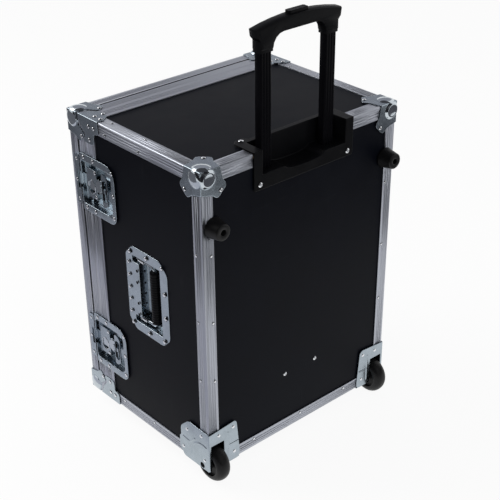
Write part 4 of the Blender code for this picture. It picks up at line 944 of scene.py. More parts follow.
class Shop:
    """Every material of the trunk, made once."""

    def __init__(self) -> None:
        """Builds the shared groups and the materials."""
        effects = Effects()
        self.laminate = Finish(
            "black_laminate", dark=(0.0022, 0.0028, 0.0052), light=(0.0040, 0.0048, 0.0082),
            rough=(0.36, 0.46), specular=0.05, grain_scale=420.0, grain_share=0.25, grain_depth=0.008,
            patch_scale=5.0, pebble_scale=650.0, pebble_depth=0.025, scuff=0.06,
            scuff_color=(0.04, 0.042, 0.048),
        ).build(effects)
        self.birch = Finish(
            "birch_face", dark=(0.40, 0.26, 0.14), light=(0.62, 0.45, 0.28), rough=(0.45, 0.6),
            stretch=(9.0, 9.0, 1.0), grain_scale=14.0, grain_share=0.75, grain_depth=0.05, patch_scale=4.0,
        ).build(effects)
        self.ply_edge = Finish(
            "plywood_edge", dark=(0.16, 0.09, 0.045), light=(0.50, 0.34, 0.20), rough=(0.55, 0.7),
            grain_scale=700.0, grain_share=0.9, grain_depth=0.05,
        ).build(effects)
        self.aluminium = {
            run: Finish(
                f"satin_aluminium_{run.name.lower()}", dark=(0.405, 0.425, 0.475),
                light=(0.475, 0.495, 0.55), metallic=1.0, rough=(0.38, 0.44), stretch=run.value,
                grain_scale=22.0, grain_share=0.7, grain_depth=0.0018, patch_scale=1.5, scuff=0.04,
                scuff_color=(0.58, 0.59, 0.61),
            ).build(effects)
            for run in Run
        }
        self.zinc = Finish(
            "zinc_plated_steel", dark=(0.33, 0.38, 0.42), light=(0.42, 0.48, 0.53), metallic=1.0,
            rough=(0.20, 0.28), grain_scale=260.0, grain_share=0.25, grain_depth=0.003, patch_scale=26.0,
            scuff=0.12, scuff_color=(0.58, 0.62, 0.66),
        ).build(effects)
        self.polished = Finish(
            "polished_zinc", dark=(0.50, 0.55, 0.59), light=(0.58, 0.63, 0.67), metallic=1.0,
            rough=(0.07, 0.13), grain_scale=200.0, grain_share=0.3, grain_depth=0.001, patch_scale=40.0,
        ).build(effects)
        self.bright = Finish(
            "bright_steel", dark=(0.70, 0.72, 0.75), light=(0.84, 0.86, 0.89), metallic=1.0,
            rough=(0.10, 0.18), grain_scale=200.0, grain_share=0.3, grain_depth=0.002, patch_scale=40.0,
        ).build(effects)
        self.rubber = Finish(
            "black_rubber", dark=(0.0028, 0.0028, 0.0032), light=(0.0056, 0.0056, 0.0062),
            rough=(0.34, 0.46), specular=0.25, grain_scale=260.0, grain_depth=0.02, patch_scale=20.0,
            scuff=0.08, scuff_color=(0.03, 0.03, 0.03),
        ).build(effects)
        self.hub = Finish(
            "wheel_hub_plastic", dark=(0.004, 0.004, 0.005), light=(0.008, 0.008, 0.009),
            rough=(0.35, 0.45), specular=0.15, grain_scale=300.0, patch_scale=30.0,
        ).build(effects)
        self.moulding = Finish(
            "black_moulding", dark=(0.0020, 0.0021, 0.0028), light=(0.0038, 0.0040, 0.0050),
            rough=(0.32, 0.44), specular=0.08, grain_scale=500.0, grain_share=0.4, grain_depth=0.02,
            patch_scale=14.0, pebble_scale=1100.0, pebble_depth=0.02, scuff=0.05,
            scuff_color=(0.03, 0.03, 0.034),
        ).build(effects)
        self.tube = Finish(
            "black_anodised_tube", dark=(0.0016, 0.0016, 0.0024), light=(0.0034, 0.0034, 0.0046),
            metallic=0.05, rough=(0.26, 0.36), specular=0.04, stretch=Run.Z.value, grain_scale=26.0,
            grain_share=0.6, grain_depth=0.008, patch_scale=8.0, scuff=0.06,
            scuff_color=(0.08, 0.08, 0.09),
        ).build(effects)
        # Flat black used as painted shade: in the seam's gap, over holes, dents and slots, and round
        # fastener heads
        self.gasket = Finish(
            "black_gasket", dark=(0.0025, 0.0025, 0.003), light=(0.0045, 0.0045, 0.005), rough=(0.6, 0.8),
            specular=0.05, grain_scale=200.0,
        ).build(effects)


# Rivets and screws


@dataclass(frozen=True)
class RivetHead:
    """Sizes of a pop rivet's head in millimetres."""

    radius: float = 3.85
    height: float = 1.7
    recess: float = 1.55
    depth: float = 0.9


@dataclass(frozen=True)
class ScrewHead:
    """Sizes of a pan-head screw with a cross recess, in millimetres."""

    radius: float = 4.8
    height: float = 2.2
    recess: float = 2.7
    depth: float = 1.1


Head = RivetHead | ScrewHead


class HeadTrees:
    """Geometry nodes that set one fastener head on each point, with a dark ring of painted shade round it.
    """

    dirt_share = 1.17
    dirt_height = 0.16
    outputs = [("Geometry", "Geometry")]
    inputs = [
        ("Geometry", "Geometry", None),
        ("Head Radius", "Float", 0.003),
        ("Head Height", "Float", 0.001),
        ("Recess Radius", "Float", 0.001),
        ("Recess Depth", "Float", 0.0004),
        ("Metal", "Material", None),
        ("Dirt", "Material", None),
    ]

    def __init__(self) -> None:
        """Builds both trees."""
        self.trees = {RivetHead: self.rivet(), ScrewHead: self.screw()}

    def dome(self, desk: Desk, source: Node, dimpled: bool) -> NodeSocket:
        """Flattened ball, with a dimple in its top where it is a rivet's.

        Args:
            desk: Desk on the tree.
            source: Its input node.
            dimpled: True presses a round dimple into the top.

        Returns:
            Socket of the head's geometry.
        """
        radius = source.outputs["Head Radius"]
        sizes = {"Segments": 14 if dimpled else 24, "Rings": 10, "Radius": radius}
        ball = desk.node("GeometryNodeMeshUVSphere", None, sizes)
        place = desk.node("GeometryNodeInputPosition").outputs[0]
        x, y, z = desk.node("ShaderNodeSeparateXYZ", None, {0: place}).outputs
        flat = desk.node("ShaderNodeCombineXYZ", None, {0: x, 1: y})
        out = desk.node("ShaderNodeVectorMath", {"operation": "LENGTH"}, {0: flat.outputs[0]}).outputs[1]
        share = desk.math("DIVIDE", source.outputs["Head Height"], radius)
        height = desk.math("MULTIPLY", desk.math("MAXIMUM", z, 0.0), share)
        if dimpled:
            recess, depth = source.outputs["Recess Radius"], source.outputs["Recess Depth"]
            dip = desk.spread(out, 0.0, recess, depth, 0.0, True)
            above = desk.math("GREATER_THAN", z, 0.00001)
            height = desk.math("SUBTRACT", height, desk.math("MULTIPLY", dip, above))
        where = desk.node("ShaderNodeCombineXYZ", None, {0: x, 1: y, 2: height})
        values = {"Geometry": ball.outputs["Mesh"], "Position": where.outputs[0]}
        return desk.node("GeometryNodeSetPosition", None, values).outputs[0]

    def finish(self, desk: Desk, source: Node, result: Node, head: Any) -> None:
        """Sets heads and rings of painted shade on the points and closes the tree.

        Args:
            desk: Desk on the tree.
            source: Its input node.
            result: Its output node.
            head: Socket of one head's geometry.
        """
        # The dark ring under each head's edge is painted shade
        wide = desk.math("MULTIPLY", source.outputs["Head Radius"], self.dirt_share)
        sizes = {"Vertices": 16, "Radius": wide, "Depth": self.dirt_height * MM}
        ring = desk.node("GeometryNodeMeshCylinder", None, sizes)
        facing = desk.node(
            "GeometryNodeInputNamedAttribute", {"data_type": "FLOAT_VECTOR"}, {"Name": "facing"}
        )
        turn = desk.node(
            "FunctionNodeAlignRotationToVector", {"axis": "Z"}, {"Vector": facing.outputs["Attribute"]}
        )
        merged = desk.node("GeometryNodeJoinGeometry")
        for shape, material in ((ring.outputs["Mesh"], "Dirt"), (head, "Metal")):
            smooth = desk.node(
                "GeometryNodeSetShadeSmooth", None, {"Geometry": shape, "Shade Smooth": material == "Metal"}
            )
            values = {
                "Points": source.outputs["Geometry"],
                "Instance": smooth.outputs[0],
                "Rotation": turn.outputs[0],
            }
            heads = desk.node("GeometryNodeInstanceOnPoints", None, values)
            real = desk.node("GeometryNodeRealizeInstances", None, {"Geometry": heads.outputs[0]})
            values = {"Geometry": real.outputs[0], "Material": source.outputs[material]}
            done = desk.node("GeometryNodeSetMaterial", None, values)
            desk.tree.links.new(done.outputs[0], merged.inputs[0])
        desk.tree.links.new(merged.outputs[0], result.inputs[0])

    def rivet(self) -> NodeTree:
        """Domed head with a round dimple.

        Returns:
            The node tree.
        """
        desk, source, result = node_group("rivet_heads", "GeometryNodeTree", self.inputs, self.outputs)
        self.finish(desk, source, result, self.dome(desk, source, True))
        return desk.tree

    def screw(self) -> NodeTree:
        """Pan head with a cross cut into it.

        Returns:
            The node tree.
        """
        desk, source, result = node_group("screw_heads", "GeometryNodeTree", self.inputs, self.outputs)
        head = self.dome(desk, source, False)
        reach = desk.math("MULTIPLY", source.outputs["Recess Radius"], 2.0)
        narrow = desk.math("MULTIPLY", reach, 0.24)
        deep = desk.math("MULTIPLY", source.outputs["Recess Depth"], 2.0)
        lift = desk.node("ShaderNodeCombineXYZ", None, {2: source.outputs["Head Height"]})
        for first, second in ((reach, narrow), (narrow, reach)):
            size = desk.node("ShaderNodeCombineXYZ", None, {0: first, 1: second, 2: deep})
            cube = desk.node("GeometryNodeMeshCube", None, {"Size": size.outputs[0]})
            values = {"Geometry": cube.outputs["Mesh"], "Translation": lift.outputs[0]}
            slot = desk.node("GeometryNodeTransform", None, values)
            cut = desk.node("GeometryNodeMeshBoolean", {"operation": "DIFFERENCE"})
            desk.tree.links.new(head, cut.inputs["Mesh 1"])
            desk.tree.links.new(slot.outputs[0], cut.inputs["Mesh 2"])
            head = cut.outputs["Mesh"]
        self.finish(desk, source, result, head)
        return desk.tree


class Fasteners:
    """Collects the places of rivets and screws by body and sets their heads."""

    def __init__(self, shop: Shop) -> None:
        """Starts empty, with the shop's steel and the black of its painted shade."""
        self.shop = shop
        self.kinds = HeadTrees()
        self.places: dict[tuple[str, Head], list[tuple[Vector, Vector]]] = {}

    def add(self, body: str, point: Vector, facing: Sequence[float], head: Head = RivetHead()) -> None:
        """Notes one fastener.

        Args:
            body: CAD body that it holds on.
            point: World point of the surface under its head.
            facing: Direction that the head faces.
            head: Kind and sizes of the head.
        """
        self.places.setdefault((body, head), []).append((point, Vector(facing)))

    def build(self) -> None:
        """Makes one mesh for each body and head size."""
        for number, ((body, head), spots) in enumerate(self.places.items()):
            kind = "rivets" if isinstance(head, RivetHead) else "screws"
            name = f"{kind}_{body}_{number}"
            mesh = bpy.data.meshes.new(name)
            mesh.from_pydata([tuple(point) for point, facing in spots], [], [])
            layer = mesh.attributes.new("facing", "FLOAT_VECTOR", "POINT")
            for index, (point, facing) in enumerate(spots):
                layer.data[index].vector = facing
            holder = linked(name, mesh)
            modifier = holder.modifiers.new("heads", "NODES")
            modifier.node_group = self.kinds.trees[type(head)]
            values = {
                "Head Radius": head.radius * MM,
                "Head Height": head.height * MM,
                "Recess Radius": head.recess * MM,
                "Recess Depth": head.depth * MM,
                "Metal": self.shop.bright,
                "Dirt": self.shop.gasket,
            }
            for item in modifier.node_group.interface.items_tree:
                if item.in_out == "INPUT" and item.name in values:
                    modifier[item.identifier] = values[item.name]
            made = evaluated(holder)
            bpy.data.meshes.remove(mesh)
            place_piece(name, made, [], body)
            log.info("%s: %d heads, %d faces", name, len(spots), len(made.polygons))


# Sub-assemblies


@dataclass
class Assembly:
    """What each riveted sub-assembly works with: the case, the finishes and the fasteners."""

    case: Case
    shop: Shop
    fasteners: Fasteners

    def pressing(self, node: str, extras: Iterable[Mesh] = (), **settings: Any) -> None:
        """Adds a zinc-plated pressing of the case; its settings are those of pressed."""
        mesh = pressed(node, extras, **settings)
        place_piece(f"{node}_pressed", mesh, [self.shop.zinc], "case", [node])


@dataclass
class Panels:
    """Laminated plywood panels: black outside, plain birch inside."""

    shop: Shop
    ease: float = 0.4

    outward = {
        "panel_latch_side": ("case", (1, 0, 0)),
        "panel_hinge_side": ("case", (-1, 0, 0)),
        "panel_top": ("case", (0, 0, 1)),
        "panel_bottom": ("case", (0, 0, -1)),
        "panel_back": ("case", (0, 1, 0)),
        "panel_inner": ("case", (0, 1, 0)),
        "lid_panel": ("lid", (0, -1, 0)),
    }

    def build(self) -> None:
        """Adds a finished copy of each panel."""
        for node, (body, direction) in self.outward.items():
            out = Vector(direction)
            mesh = eased(welded(node), self.ease)
            for face in mesh.polygons:
                along = face.normal.dot(out)
                face.material_index = 0 if along > 0.5 else (1 if along < -0.5 else 2)
            finishes = [self.shop.laminate, self.shop.birch, self.shop.ply_edge]
            place_piece(f"{node}_board", mesh, finishes, body, [node])


@dataclass
class Aluminium(Assembly):
    """Edge angles, the two frames at the seam and a black strip of painted shade in the gap between them.
    """

    ease: float = 0.22
    inset: float = 18.0
    upright_rivets: tuple[float, ...] = (193.0, 314.0, 445.0)
    side_rivets: Pair = (-75.0, 20.0)
    bottom_rivets: Triple = (-120.0, 0.0, 120.0)
    small: RivetHead = RivetHead(radius=2.7, height=1.1, recess=1.1, depth=0.5)
    strip: Pair = (-2.0, 1.8)  # front and rear of the black strip of painted shade, from the seam
    strip_lift: float = 0.12  # past the case's faces
    strip_deep: float = 5.0
    strip_starts: Triple = (6.2, 180.0, 519.0)  # heights that the latches leave free
    strip_ends: Pair = (80.0, 419.0)

    def build(self) -> None:
        """Adds the angles and the frames with grain along each run."""
        for side in Side:
            self.angle(f"edge_back_{side.label}", Run.Z)
            self.angle(f"edge_top_back_{side.label}", Run.X)
            self.angle(f"edge_top_{side.label}", Run.Y)
            self.angle(f"edge_bottom_{side.label}", Run.Y)
        self.angle("edge_bottom_back", Run.X)
        self.frame("body_frame", "case")
        self.frame("lid_frame", "lid")
        self.gasket()
        self.fix()

    def angle(self, node: str, run: Run) -> None:
        """Adds one edge angle.

        Args:
            node: CAD node of the angle.
            run: Direction of its grain.
        """
        mesh = creased(eased(welded(node), self.ease, angle=24, segments=1), 40)
        place_piece(f"{node}_angle", mesh, [self.shop.aluminium[run]], "case", [node])

    def frame(self, node: str, body: str) -> None:
        """Adds one mitred frame, with the grain of its uprights and of its rails.

        Args:
            node: CAD node of the frame.
            body: Body that it rides on.
        """
        mesh = creased(eased(welded(node), self.ease, angle=24, segments=1), 40)
        case = self.case
        for face in mesh.polygons:
            place = (face.center - case.origin) / MM
            from_side = case.half - abs(place.x)
            face.material_index = 0 if from_side < min(place.z, case.top - place.z) else 1
        finishes = [self.shop.aluminium[Run.Z], self.shop.aluminium[Run.X]]
        place_piece(f"{node}_profile", mesh, finishes, body, [node])

    def gasket(self) -> None:
        """Adds the black strip of painted shade that fills the seam's gap, left out behind the latches and
        the hinge.
        """
        case = self.case
        front, rear = (case.seam + offset for offset in self.strip)
        lift, deep = self.strip_lift, self.strip_deep
        high, wide = case.top + lift, case.half + lift
        # Black strips painted into the seam stand for the shade in its gap
        strips = [
            block((-wide, front, high - deep), (wide, rear, high), case),
            block((-wide, front, -lift), (wide, rear, deep), case),
        ]
        for low, top in zip(self.strip_starts, (*self.strip_ends, high - deep - 0.2)):
            strips.append(block((wide - deep, front, low), (wide, rear, top), case))
        finishes = [self.shop.gasket] * len(strips)
        place_piece("seam_gasket", joined(strips), finishes, "case")

    def fix(self) -> None:
        """Adds the small rivets along the angles."""
        case, near = self.case, self.case.half - self.inset
        for side in Side:
            x = side.sign
            for z in self.upright_rivets:
                self.fasteners.add("case", case.at(x * near, case.back, z), (0, 1, 0), self.small)
                place = case.at(x * case.half, case.back - self.inset, z)
                self.fasteners.add("case", place, (x, 0, 0), self.small)
            for y in self.side_rivets:
                place = case.at(x * near, y, case.top)
                self.fasteners.add("case", place, (0, 0, 1), self.small)
                for z in (case.top - self.inset, self.inset):
                    self.fasteners.add("case", case.at(x * case.half, y, z), (x, 0, 0), self.small)
        for x in self.bottom_rivets:
            self.fasteners.add("case", case.at(x, case.back, self.inset), (0, 1, 0), self.small)


@dataclass
class BallCorners(Assembly):
    """Pressed ball corners at the back top and on the lid."""

    radius: float = 22.3
    inset: float = 13.5
    proud: float = 5.3
    swell: float = 0.12  # added to the ball's radius
    room: float = 2.0  # left round the ball where only its back is cut flat
    open_from: float = 1.6  # start of the hollow over the case's corner
    open_size: float = 60.0
    facet_rim: float = 11.5
    rim_bar: float = 0.6
    rim_sunk: float = 0.62
    bowl: float = 10.7
    bowl_depth: float = 0.7
    squash_from: float = 9.0
    rivet_at: float = 40.5
    flange_gap: float = 0.35  # a little over the play, so that the whole sheet stays
    flange_size: float = 90.0
    polish_out: float = 1.8  # faces further out than this are bright
    polish_deep: float = 6.0

    def build(self) -> None:
        """Adds six corners with their rivets."""
        case = self.case
        for side in Side:
            corner = case.at(side.sign * case.half, case.back, case.top)
            inward = ((-side.sign, 0, 0), (0, -1, 0), (0, 0, -1))
            self.corner(f"ball_corner_{side.label}", "case", corner, inward, False)
            for end in End:
                corner = case.at(side.sign * case.half, case.front, case.top if end is End.TOP else 0)
                inward = ((-side.sign, 0, 0), (0, 1, 0), (0, 0, -end.sign))
                name = f"lid_corner_{end.label}_{side.label}"
                self.corner(name, "lid", corner, inward, side is Side.HINGE)

    def dome(self, corner: Vector, inward: Sequence[Vector]) -> Mesh:
        """Smooth ball with one dished facet at the back, open over the case's corner.

        Args:
            corner: World point of the case's corner.
            inward: Unit directions from the corner along the case's edges.

        Returns:
            Mesh in world metres.
        """
        centre = corner + sum(inward, Vector()) * self.inset * MM
        out = self.inset + self.proud
        reach = Vector((out + self.room, out, out + self.room)) * MM
        near = corner + sum(inward, Vector()) * self.open_from * MM
        far = near + sum(inward, Vector()) * self.open_size * MM
        ball = self.ball(self.radius + self.swell)
        for vertex in ball.vertices:
            vertex.co = centre + self.squashed(vertex.co, inward)
        ball = carved(ball, [self.between(centre - reach, centre + reach)], keep=True)
        bowl_radius = (self.bowl**2 + self.bowl_depth**2) / (2 * self.bowl_depth)
        bowl = self.ball(bowl_radius)
        bowl.transform(Matrix.Translation(centre - inward[1] * (out + bowl_radius - self.bowl_depth) * MM))
        return carved(ball, [self.between(near, far), bowl])

    def ball(self, radius: float) -> Mesh:
        """Ball about the origin, as a mesh; its radius is in millimetres."""
        work = bmesh.new()
        bmesh.ops.create_uvsphere(work, u_segments=128, v_segments=64, radius=radius * MM)
        return clean_mesh("ball", work)

    def squashed(self, offset: Vector, inward: Sequence[Vector]) -> Vector:
        """Presses a point of the ball in, so that no side stands out past the corner's size.

        Args:
            offset: Point from the ball's centre.
            inward: Unit directions from the corner along the case's edges.

        Returns:
            The point's new place from the ball's centre.
        """
        start, full, most = self.squash_from, self.radius + self.swell, self.inset + self.proud
        slope = (full - start) / (most - start)
        moved = offset.copy()
        for axis in (0, 2):
            out = -offset.dot(inward[axis]) / MM
            if out > start:
                share = (out - start) / (full - start)
                level = start + (most - start) * (slope * share + (1 - slope) * share**2)
                moved += inward[axis] * (out - level) * MM
        return moved

    def between(self, first: Vector, second: Vector) -> Mesh:
        """Box between two world points, as a mesh."""
        work = bmesh.new()
        bmesh.ops.create_cube(work, size=1)
        size = Vector([abs(a - b) for a, b in zip(first, second)])
        bmesh.ops.scale(work, vec=size, verts=work.verts)
        bmesh.ops.translate(work, vec=(first + second) / 2, verts=work.verts)
        return clean_mesh("tool", work)

    def corner(
        self, node: str, body: str, corner: Vector, directions: Sequence[Triple], trimmed: bool
    ) -> None:
        """Adds one corner: its sheet, its dome with the rim of the facet, and its rivets.

        Args:
            node: CAD node that it stands for.
            body: Body that it rides on.
            corner: World point of the case's corner.
            directions: Unit directions from the corner along the case's edges.
            trimmed: True where the corner is cut flat for the hinge.
        """
        inward = [Vector(direction) for direction in directions]
        centre = corner + sum(inward, Vector()) * self.inset * MM
        extras = [] if trimmed else [self.dome(corner, inward)]
        for axis in range(3):
            if trimmed and axis == 0:
                continue
            first, second = (inward[other] for other in range(3) if other != axis)
            if axis == 1 and not trimmed:
                facet = centre - inward[axis] * (self.inset + self.proud - self.rim_sunk) * MM
                rim = arc(facet, first, second, self.facet_rim, 0, 354, 59)
                extras.append(bar(rim, self.rim_bar, loop=True))
            spot = corner - inward[axis] * STAND * MM + (first + second) * self.rivet_at * MM
            self.fasteners.add(body, spot, -inward[axis])
        base = welded(node)
        if not trimmed:
            flange = corner - sum(inward, Vector()) * (self.flange_gap + SHEET) * MM
            far = corner + sum(inward, Vector()) * self.flange_size * MM
            base = carved(base, [self.between(flange, far)], keep=True)
        mesh = pressed(node, extras, keep=0.45, base=base)
        if not trimmed:
            for face in mesh.polygons:
                offset = face.center - corner
                out = max(-offset.dot(direction) for direction in inward) / MM
                ball = (face.center - centre).length / MM
                shown = out > self.polish_out and ball > self.radius - self.polish_deep
                face.material_index = int(shown)
        finishes = [self.shop.zinc, self.shop.polished]
        place_piece(f"{node}_pressed", mesh, finishes, body, [node])


@dataclass
class Braces(Assembly):
    """Riveted plates beside the lid corners."""

    side_rivets: tuple[Pair, ...] = ((-121, 15), (-106, 15), (-121, 40))
    end_rivets: tuple[Pair, ...] = ((12, -118), (29, -117.5), (12, -101))

    def build(self) -> None:
        """Adds four braces with their rivets."""
        case = self.case
        for side in Side:
            for end in End:
                edge = case.top if end is End.TOP else 0.0
                x = side.sign
                for y, off in self.side_rivets:
                    point = case.at(x * (case.half + STAND), y, edge - end.sign * off)
                    self.fasteners.add("case", point, (x, 0, 0))
                for off, y in self.end_rivets:
                    point = case.at(x * (case.half - off), y, edge + end.sign * STAND)
                    self.fasteners.add("case", point, (0, 0, end.sign))
                self.pressing(f"brace_{end.label}_{side.label}", voxel=0.55, keep=0.4)


@dataclass
class WheelCorners(Assembly):
    """Pressed wheel corners, axles and wheels."""

    crown: float = 13.0
    rim_share: float = 0.62
    axle_head: float = 6.0
    head_height: float = 1.5
    side_rivets: tuple[Pair, ...] = ((123.4, 63.1), (164.3, 69.6), (111.3, 17.0), (172.6, 18.2))
    back_rivets: tuple[Pair, ...] = ((206.2, 71.3), (171.8, 74.2), (170.2, 17.2))
    under_rivets: tuple[Pair, ...] = ((170.0, 165.0), (170.0, 122.0))
    # Place and radius of the black disc of painted shade over the hole
    hole: Triple = (165.3, 3.5, 5.9)
    hole_lift: float = 0.35
    hole_tall: float = 0.4
    sunk: float = 0.75  # of each crease's line under the sheet's outer face
    arch: Triple = (168.0, 15.0, 36.0)  # y and z of its centre, then its radius
    arch_turn: Pair = (-6.0, 108.0)  # degrees
    arch_bar: float = 2.5
    crease_bar: float = 2.2
    side_crease: tuple[Pair, ...] = ((110.0, 40.7), (130.4, 39.1), (146.2, 53.8))
    back_creases: tuple[tuple[Pair, Pair], ...] = (
        ((184.5, 10.0), (184.5, 69.0)),
        ((184.5, 38.0), (160.5, 38.0)),
    )

    def build(self) -> None:
        """Adds both wheel corners."""
        for side in Side:
            self.corner(side)
            self.wheel(side)
            self.axle(side)

    def corner(self, side: Side) -> None:
        """Adds the sheet metal with its creases, its rivets and a black disc of painted shade over the hole
        beside the wheel.

        Args:
            side: Side of the case.
        """
        case, x = self.case, side.sign
        face, back = x * (case.half + STAND), case.back + STAND
        flank = x * (case.half + STAND - self.sunk)
        rear = case.back + STAND - self.sunk
        y, z, radius = self.arch
        ridge = arc(case.at(flank, y, z), (0, -1, 0), (0, 0, 1), radius, *self.arch_turn, 30)
        lines = [[case.at(flank, y, z) for y, z in self.side_crease]]
        lines += [[case.at(x * off, rear, z) for off, z in line] for line in self.back_creases]
        extras = [bar(ridge, self.arch_bar), *(bar(line, self.crease_bar) for line in lines)]
        node = f"wheel_corner_{side.label}"
        self.pressing(node, extras, voxel=0.5, relax=5, keep=0.3)
        for y, z in self.side_rivets:
            self.fasteners.add("case", case.at(face, y, z), (x, 0, 0))
        for off, z in self.back_rivets:
            self.fasteners.add("case", case.at(x * off, back, z), (0, 1, 0))
        for off, y in self.under_rivets:
            self.fasteners.add("case", case.at(x * off, y, -STAND), (0, 0, -1))
        # The black disc paints the shade inside the hole
        y, z, radius = self.hole
        seat = outward(case.at(x * (case.half + self.hole_lift), y, z), x)
        plug = lathe([(0, self.hole_tall), (radius, self.hole_tall), (radius, 0), (0, 0)], seat, 40)
        place_piece(f"{node}_hole", plug, [self.shop.gasket], "case")

    def wheel(self, side: Side) -> None:
        """Adds the rubber tyre and the hub.

        Args:
            side: Side of the case.
        """
        case, x = self.case, side.sign
        node = f"wheel_{side.label}"
        low, high = case.box(node)
        hub = (low + high) / 2
        place = outward(case.at(*hub), x)
        half, radius, crown = (high.x - low.x) / 2, (high.z - low.z) / 2, self.crown
        rim = radius * self.rim_share
        upper = [(rim, half - 5), (rim + 0.6, half - 4.2), (radius - crown - 1.4, half - 0.3)]
        for step in range(17):
            turn = math.pi / 2 * step / 16
            wide = (half - 0.8) * (1 - math.cos(turn))
            upper.append((radius - crown * (1 - math.sin(turn)), half - wide))
        tyre = lathe(mirrored(upper), place, 112)
        place_piece(f"wheel_tyre_{side.label}", tyre, [self.shop.rubber], node, [node])
        face = [
            (4.3, half - 0.4), (4.7, half), (8.2, half), (8.8, half - 0.5), (10.2, half - 4.6),
            (11.0, half - 5.0), (rim - 3.5, half - 5.0), (rim - 3.0, half - 4.2), (rim - 1.2, half - 4.2),
            (rim - 0.8, half - 5.0), (rim + 0.4, half - 5.1),
        ]
        disc = lathe(mirrored(face), place, 72)
        place_piece(f"wheel_hub_{side.label}", disc, [self.shop.hub], node)

    def axle(self, side: Side) -> None:
        """Adds the axle with a flat head at each end.

        Args:
            side: Side of the case.
        """
        node = f"axle_{side.label}"
        low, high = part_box(node)
        reach = (high.x - low.x) / 2 / MM
        pin = outward((low + high) / 2, side.sign)
        head, tall = self.axle_head, self.head_height
        half = [
            (0, reach), (head * 0.7, reach), (head - 0.3, reach - 0.2), (head, reach - 0.6),
            (head, reach - tall), (3.9, reach - tall),
        ]
        mesh = lathe(mirrored(half), pin, 48)
        place_piece(f"axle_pin_{side.label}", mesh, [self.shop.bright], "case", [node])


@dataclass
class Buffers(Assembly):
    """Rubber bumpers on the back and feet under the front."""

    bumper_tip: float = 15.0
    foot_tip: float = 14.0
    hole: float = 5.5
    depth: float = 18.0
    screw: ScrewHead = ScrewHead(radius=3.7, height=2.0, recess=2.1, depth=1.0)

    def build(self) -> None:
        """Adds two bumpers and two feet, each with its screw."""
        for side in Side:
            self.buffer(f"bumper_{side.label}", Vector((0, 1, 0)), self.bumper_tip)
            self.buffer(f"foot_{side.label}", Vector((0, 0, -1)), self.foot_tip)

    def buffer(self, node: str, out: Vector, tip: float) -> None:
        """Adds one tapered buffer.

        Args:
            node: CAD node that it stands for.
            out: Direction of its axis.
            tip: Radius of its outer end in millimetres.
        """
        low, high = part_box(node)
        size = (high - low) / MM
        base, length = size.x / 2, abs(size.dot(out))
        place = basis((low + high) / 2 - out * length / 2 * MM, (1, 0, 0), out.cross(Vector((1, 0, 0))))
        hole, depth = self.hole, min(self.depth, length - 5)
        profile = [
            (0, length - depth), (hole, length - depth), (hole, length - 0.9),
            (hole + 0.35, length - 0.25), (hole + 0.9, length), (tip - 2.6, length),
            (tip - 1.3, length - 0.4), (tip - 0.4, length - 1.3), (tip, length - 2.6), (base - 0.6, 3.2),
            (base - 0.1, 2.2), (base, 1.6), (base, 0), (0, 0),
        ]
        mesh = lathe(profile, place, 72)
        place_piece(f"{node}_rubber", mesh, [self.shop.rubber], "case", [node])
        seat = place @ lifted(length - depth + 0.1)
        washer = lathe([(0, 1.0), (5.1, 1.0), (5.3, 0.8), (5.3, 0), (0, 0)], seat, 32)
        place_piece(f"{node}_washer", washer, [self.shop.zinc], "case")
        self.fasteners.add("case", (seat @ lifted(1.0)).translation, out, self.screw)


@dataclass(frozen=True)
class Web:
    """Rounding of the inner corners at one end of a latch's recess, in millimetres."""

    end: float
    inward: int
    turn: float
    deep: float


